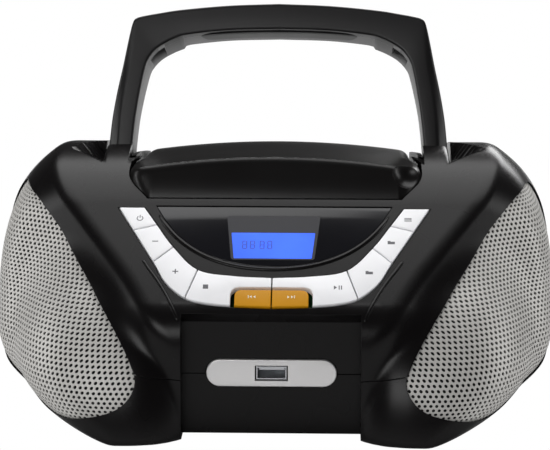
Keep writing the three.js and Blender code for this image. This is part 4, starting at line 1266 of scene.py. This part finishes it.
# A fine groove runs along the lid's front edge, just behind its brow.
brow_x = np.linspace(-60.5, 60.5, 61)
brow_y = -38.9 - 2.45 * (brow_x / 60) ** 2
brow = np.stack([brow_x, brow_y, lid_top(brow_x, brow_y)], 1)
carve(lid_shape, [(CUT, bead(brow, 0.55, 10, ends=False))])
posts = []
for x, y in ((0, 52), (-34, -8), (34, -8)):
    top = float(lid_top(x, y, LID_SKIN)) + 1
    posts.append(rod(3, LINER_TOP, top, (x, y, 0), segments=24))
turn = [math.pi * (1 + i / 12) for i in range(13)]
lug_side = [(68 + 3 * math.cos(t), 91 + 3 * math.sin(t)) for t in turn] + [(71, 97.4), (65, 98)]
lugs = both_sides(prism(lug_side, 34, 37.4, SIDE_VIEW))
pin_bores = both_sides(rod(LID_PIN_HOLE, 33, 43, LID_PIN, X_AXIS, 32))
carve(lid_shape, [(JOIN, joined(posts)), (JOIN, lugs), (CUT, pin_bores)])
piece("disc_lid_shell", lid_shape, LID_BLACK, "lid", ["cd_lid"])
true_normals(lid_shape, lid_field)

# ------------------------------------------------------------------ disc player
DISC_AXIS = (0, DISC_Y, 0)


def soft_edges(profile, radius=0.4):
    """Chamfers the inner corners of a turned profile."""
    p = [np.asarray(q, float) for q in profile]
    closed = profile[0] == profile[-1]
    line = [] if closed else [p[0]]
    for i in range(0 if closed else 1, len(p) - 1):
        before = p[i - 1] if i else p[-2]
        for other in (before, p[i + 1]):
            way = other - p[i]
            length = np.linalg.norm(way)
            line.append(p[i] + way / length * min(radius, length / 3))
    if not closed:
        line.append(p[-1])
    return [tuple(q) for q in line]


deck_outer = 61.8
deck = solid(turned(soft_edges([
    (16, 79.5), (deck_outer, 79.5), (deck_outer, 91), (deck_outer - 0.9, 91),
    (deck_outer - 0.9, 82.4), (deck_outer - 1.8, 81.5), (16, 81.5), (16, 79.5)]),
    DISC_AXIS, segments=120))
carve(deck, [
    (CUT, block(-10.5, 10.5, -44, 2, 78, 83)),
    (CUT, block(-35, 35, 65, 75, 86.4, 93)),
])
piece("disc_deck", deck, SATIN_BLACK, "chassis", ["cd_deck"])
piece("lid_liner_plate", turned(soft_edges([
    (9.3, 96.5), (52, 96.5), (52, 98), (9.3, 98), (9.3, 96.5)]), DISC_AXIS, segments=96),
    SATIN_BLACK, "lid", ["lid_liner"])
piece("clamp_disc", turned(soft_edges([
    (0, 89.6), (13, 89.6), (14, 90.6), (14, 94.6), (8, 94.6), (8, 99.2), (12, 99.2),
    (12, 100.6), (0, 100.6)]), DISC_AXIS), WHITE_PLASTIC, "clamp", ["disc_clamp"])
piece("spindle_table", turned(soft_edges([
    (0, 76.6), (1.5, 76.6), (1.5, 82.4), (6, 82.4), (6, 84.2), (13, 84.2), (13, 85.8),
    (7.3, 85.8), (7.3, 88), (5.5, 89.2), (0, 89.2)]), DISC_AXIS), WHITE_PLASTIC, "spindle",
    ["spindle_hub"])
piece("motor_can", turned(soft_edges([(0, 66), (12, 66), (12, 76.2), (0, 76.2)], 0.8), DISC_AXIS),
      STEEL, "chassis", ["spindle_motor"])

# ------------------------------------------------------------------ USB plate and socket
plate = solid(front_prism(stadium(28.5, 6.1), -96.2, -94.5, round_top=0.5))
carve(plate, [(CUT, port)])
piece("usb_face_plate", plate, PLATE_SILVER, "chassis", ["usb_plate"])

# ------------------------------------------------------------------ aerial
def tube_part(radius, bore, start, length, lip=0.3):
    profile = [(bore, start), (radius - lip, start), (radius, start + lip),
               (radius, start + length - lip), (radius - lip, start + length),
               (bore, start + length), (bore, start)]
    return turned(profile[:-1], AERIAL, -X_AXIS, 40)


piece("aerial_tube", tube_part(2.9, 2.25, 3.4, 136), CHROME, "aerial", ["antenna_tube"])
piece("aerial_tube_middle", tube_part(1.9, 1.35, 5.4, 138), CHROME, "aerial_middle",
      ["antenna_middle_tube"])
piece("aerial_rod", rod(1, 6.8, 143.6, AERIAL, -X_AXIS, 32),
      CHROME, "aerial_tip", ["antenna_tip"])
piece("aerial_knob", turned([(0, 144), (1.9, 144), (2.6, 144.7), (2.6, 147.6), (1.8, 148.7),
                             (0, 149)], AERIAL, -X_AXIS, 40), CHROME, "aerial_tip",
      ["antenna_knob"])
swivel = solid(turned([(0, -13), (4, -13), (4, -3), (5.2, -3), (5.6, -2.6), (5.6, 2.8),
                       (5.0, 3.4), (0, 3.4)], AERIAL, Y_AXIS, 48))
carve(swivel, [(CUT, rod(3.25, 3, 23, AERIAL, -X_AXIS, 40))])
piece("aerial_swivel", swivel, SATIN_BLACK, "aerial", ["antenna_swivel"])

# ------------------------------------------------------------------ feet, pins, rails
for name, spot in FEET.items():
    piece(name + "_rubber_foot",
          turned([(0, 0), (5.6, 0), (6.1, 0.4), (7, 4), (0, 4)], spot, segments=48),
          RUBBER, "chassis", ["foot_" + name])
pin_profile = [(0, 65), (HANDLE_PIN_RADIUS, 65), (HANDLE_PIN_RADIUS, 86), (0, 86)]
pin = turned(soft_edges(pin_profile, 0.5), HANDLE_PIVOT, X_AXIS, 40)
hinge_profile = [(0, 33.2), (LID_PIN_RADIUS, 33.2), (LID_PIN_RADIUS, 41.8), (0, 41.8)]
hinge = turned(soft_edges(hinge_profile), LID_PIN, X_AXIS, 32)
rail = rod(1.5, -60, -14, (12.5, DISC_Y, 72.5), Y_AXIS, 32)
for side, way in (("right", as_is), ("left", mirrored)):
    piece(side + "_handle_axle", way(pin), STEEL, "chassis", [side + "_handle_pin"])
    piece(side + "_lid_axle", way(hinge), STEEL, "chassis", [side + "_lid_pin"])
    piece(side + "_rail_rod", way(rail), CHROME, "chassis", [side + "_sled_rail"])

# ------------------------------------------------------------------ CAD nodes that stay
for subpart in frame["record"]["subparts"]:
    node = frame["nodes"][subpart["node"]]
    node.data.materials.clear()
    node.data.materials.append(FINISHES[subpart["material_slot"]])

# ------------------------------------------------------------------ floor, light, camera
def stage_plane(name, corners, mat):
    made = mesh_object(name, corners, [[0, 1, 2, 3]])
    made.data.materials.append(mat)
    return made


def seen_white(tree, lit_shader, glow):
    """Mixes a shader with a white glow that only direct looks see, as in a white studio."""
    nodes, links = tree.nodes, tree.links
    rays = new_node(nodes, "ShaderNodeLightPath", 500, 300)
    white = new_node(nodes, glow, 500, -200)
    white.inputs["Color"].default_value = (1, 1, 1, 1)
    mix = new_node(nodes, "ShaderNodeMixShader", 750)
    links.new(rays.outputs["Is Camera Ray"], mix.inputs["Fac"])
    links.new(lit_shader, mix.inputs[1])
    links.new(white.outputs[0], mix.inputs[2])
    return mix.outputs["Shader"], white


def white_floor():
    made = material("floor_white", (0.8, 0.8, 0.8), 0.7, edge=0, tint=0.01)
    tree = made.node_tree
    shader = next(n for n in tree.nodes if n.type == "BSDF_PRINCIPLED")
    both, white = seen_white(tree, shader.outputs["BSDF"], "ShaderNodeEmission")
    white.inputs["Strength"].default_value = 1.0
    out = next(n for n in tree.nodes if n.type == "OUTPUT_MATERIAL")
    tree.links.new(both, out.inputs["Surface"])
    return made


FLOOR = 6000
floor_corners = [(x, y, 0) for x, y in bar(-FLOOR, FLOOR, -FLOOR, FLOOR)]
stage_plane("floor", floor_corners, white_floor())


def softbox(name, position, aim, size, power):
    data = bpy.data.lights.new(name, "AREA")
    data.shape = "RECTANGLE"
    data.size, data.size_y = size
    data.energy = power
    made = bpy.data.objects.new(name, data)
    made.location = Vector(position)
    made.rotation_mode = "QUATERNION"
    made.rotation_quaternion = (Vector(aim) - Vector(position)).to_track_quat("-Z", "Y")
    bpy.context.scene.collection.objects.link(made)
    return made


softbox("top_softbox", (0.0, 0.35, 1.1), (0, 0.05, 0.05), (1.2, 0.9), 13)
softbox("front_fill", (-0.5, -1.5, 0.75), (0, 0, 0.06), (0.9, 0.5), 9)
softbox("rear_fill", (0.7, 1.6, 0.8), (0, 0, 0.06), (0.9, 0.6), 10)
softbox("left_strip", (-1.25, -0.1, 0.45), (0, 0, 0.07), (0.35, 0.9), 5)
softbox("right_strip", (1.25, -0.1, 0.45), (0, 0, 0.07), (0.35, 0.9), 5)

ROOM_GREY = 0.05
world = bpy.data.worlds.new("studio")
world.use_nodes = True
room = world.node_tree.nodes["Background"]
room.inputs["Color"].default_value = (1, 1, 1, 1)
room.inputs["Strength"].default_value = ROOM_GREY
both, white = seen_white(world.node_tree, room.outputs["Background"], "ShaderNodeBackground")
white.inputs["Strength"].default_value = 1.0
world.node_tree.links.new(both, world.node_tree.nodes["World Output"].inputs["Surface"])
bpy.context.scene.world = world
bpy.context.scene.view_settings.view_transform = "Standard"

AZIMUTH, ELEVATION = math.radians(1.6), math.radians(12)
DISTANCE = 1.0
VIEW_WIDTH = 0.2585  # width of the view at that distance
back = Vector((
    math.sin(AZIMUTH) * math.cos(ELEVATION),
    -math.cos(AZIMUTH) * math.cos(ELEVATION),
    math.sin(ELEVATION),
))
eye = Vector((0, (-10 + ORIGIN_SHIFT) * MM, 0.085)) + back * DISTANCE
aim = Vector((-0.0009, (-10 + ORIGIN_SHIFT) * MM, 0.085 - 0.0070))
camera_data = bpy.data.cameras.new("camera")
camera_data.sensor_width = 36
camera_data.lens = 36 * DISTANCE / VIEW_WIDTH
camera = bpy.data.objects.new("camera", camera_data)
camera.location = eye
camera.rotation_mode = "QUATERNION"
camera.rotation_quaternion = (aim - eye).to_track_quat("-Z", "Y")
bpy.context.scene.collection.objects.link(camera)
bpy.context.scene.camera = camera
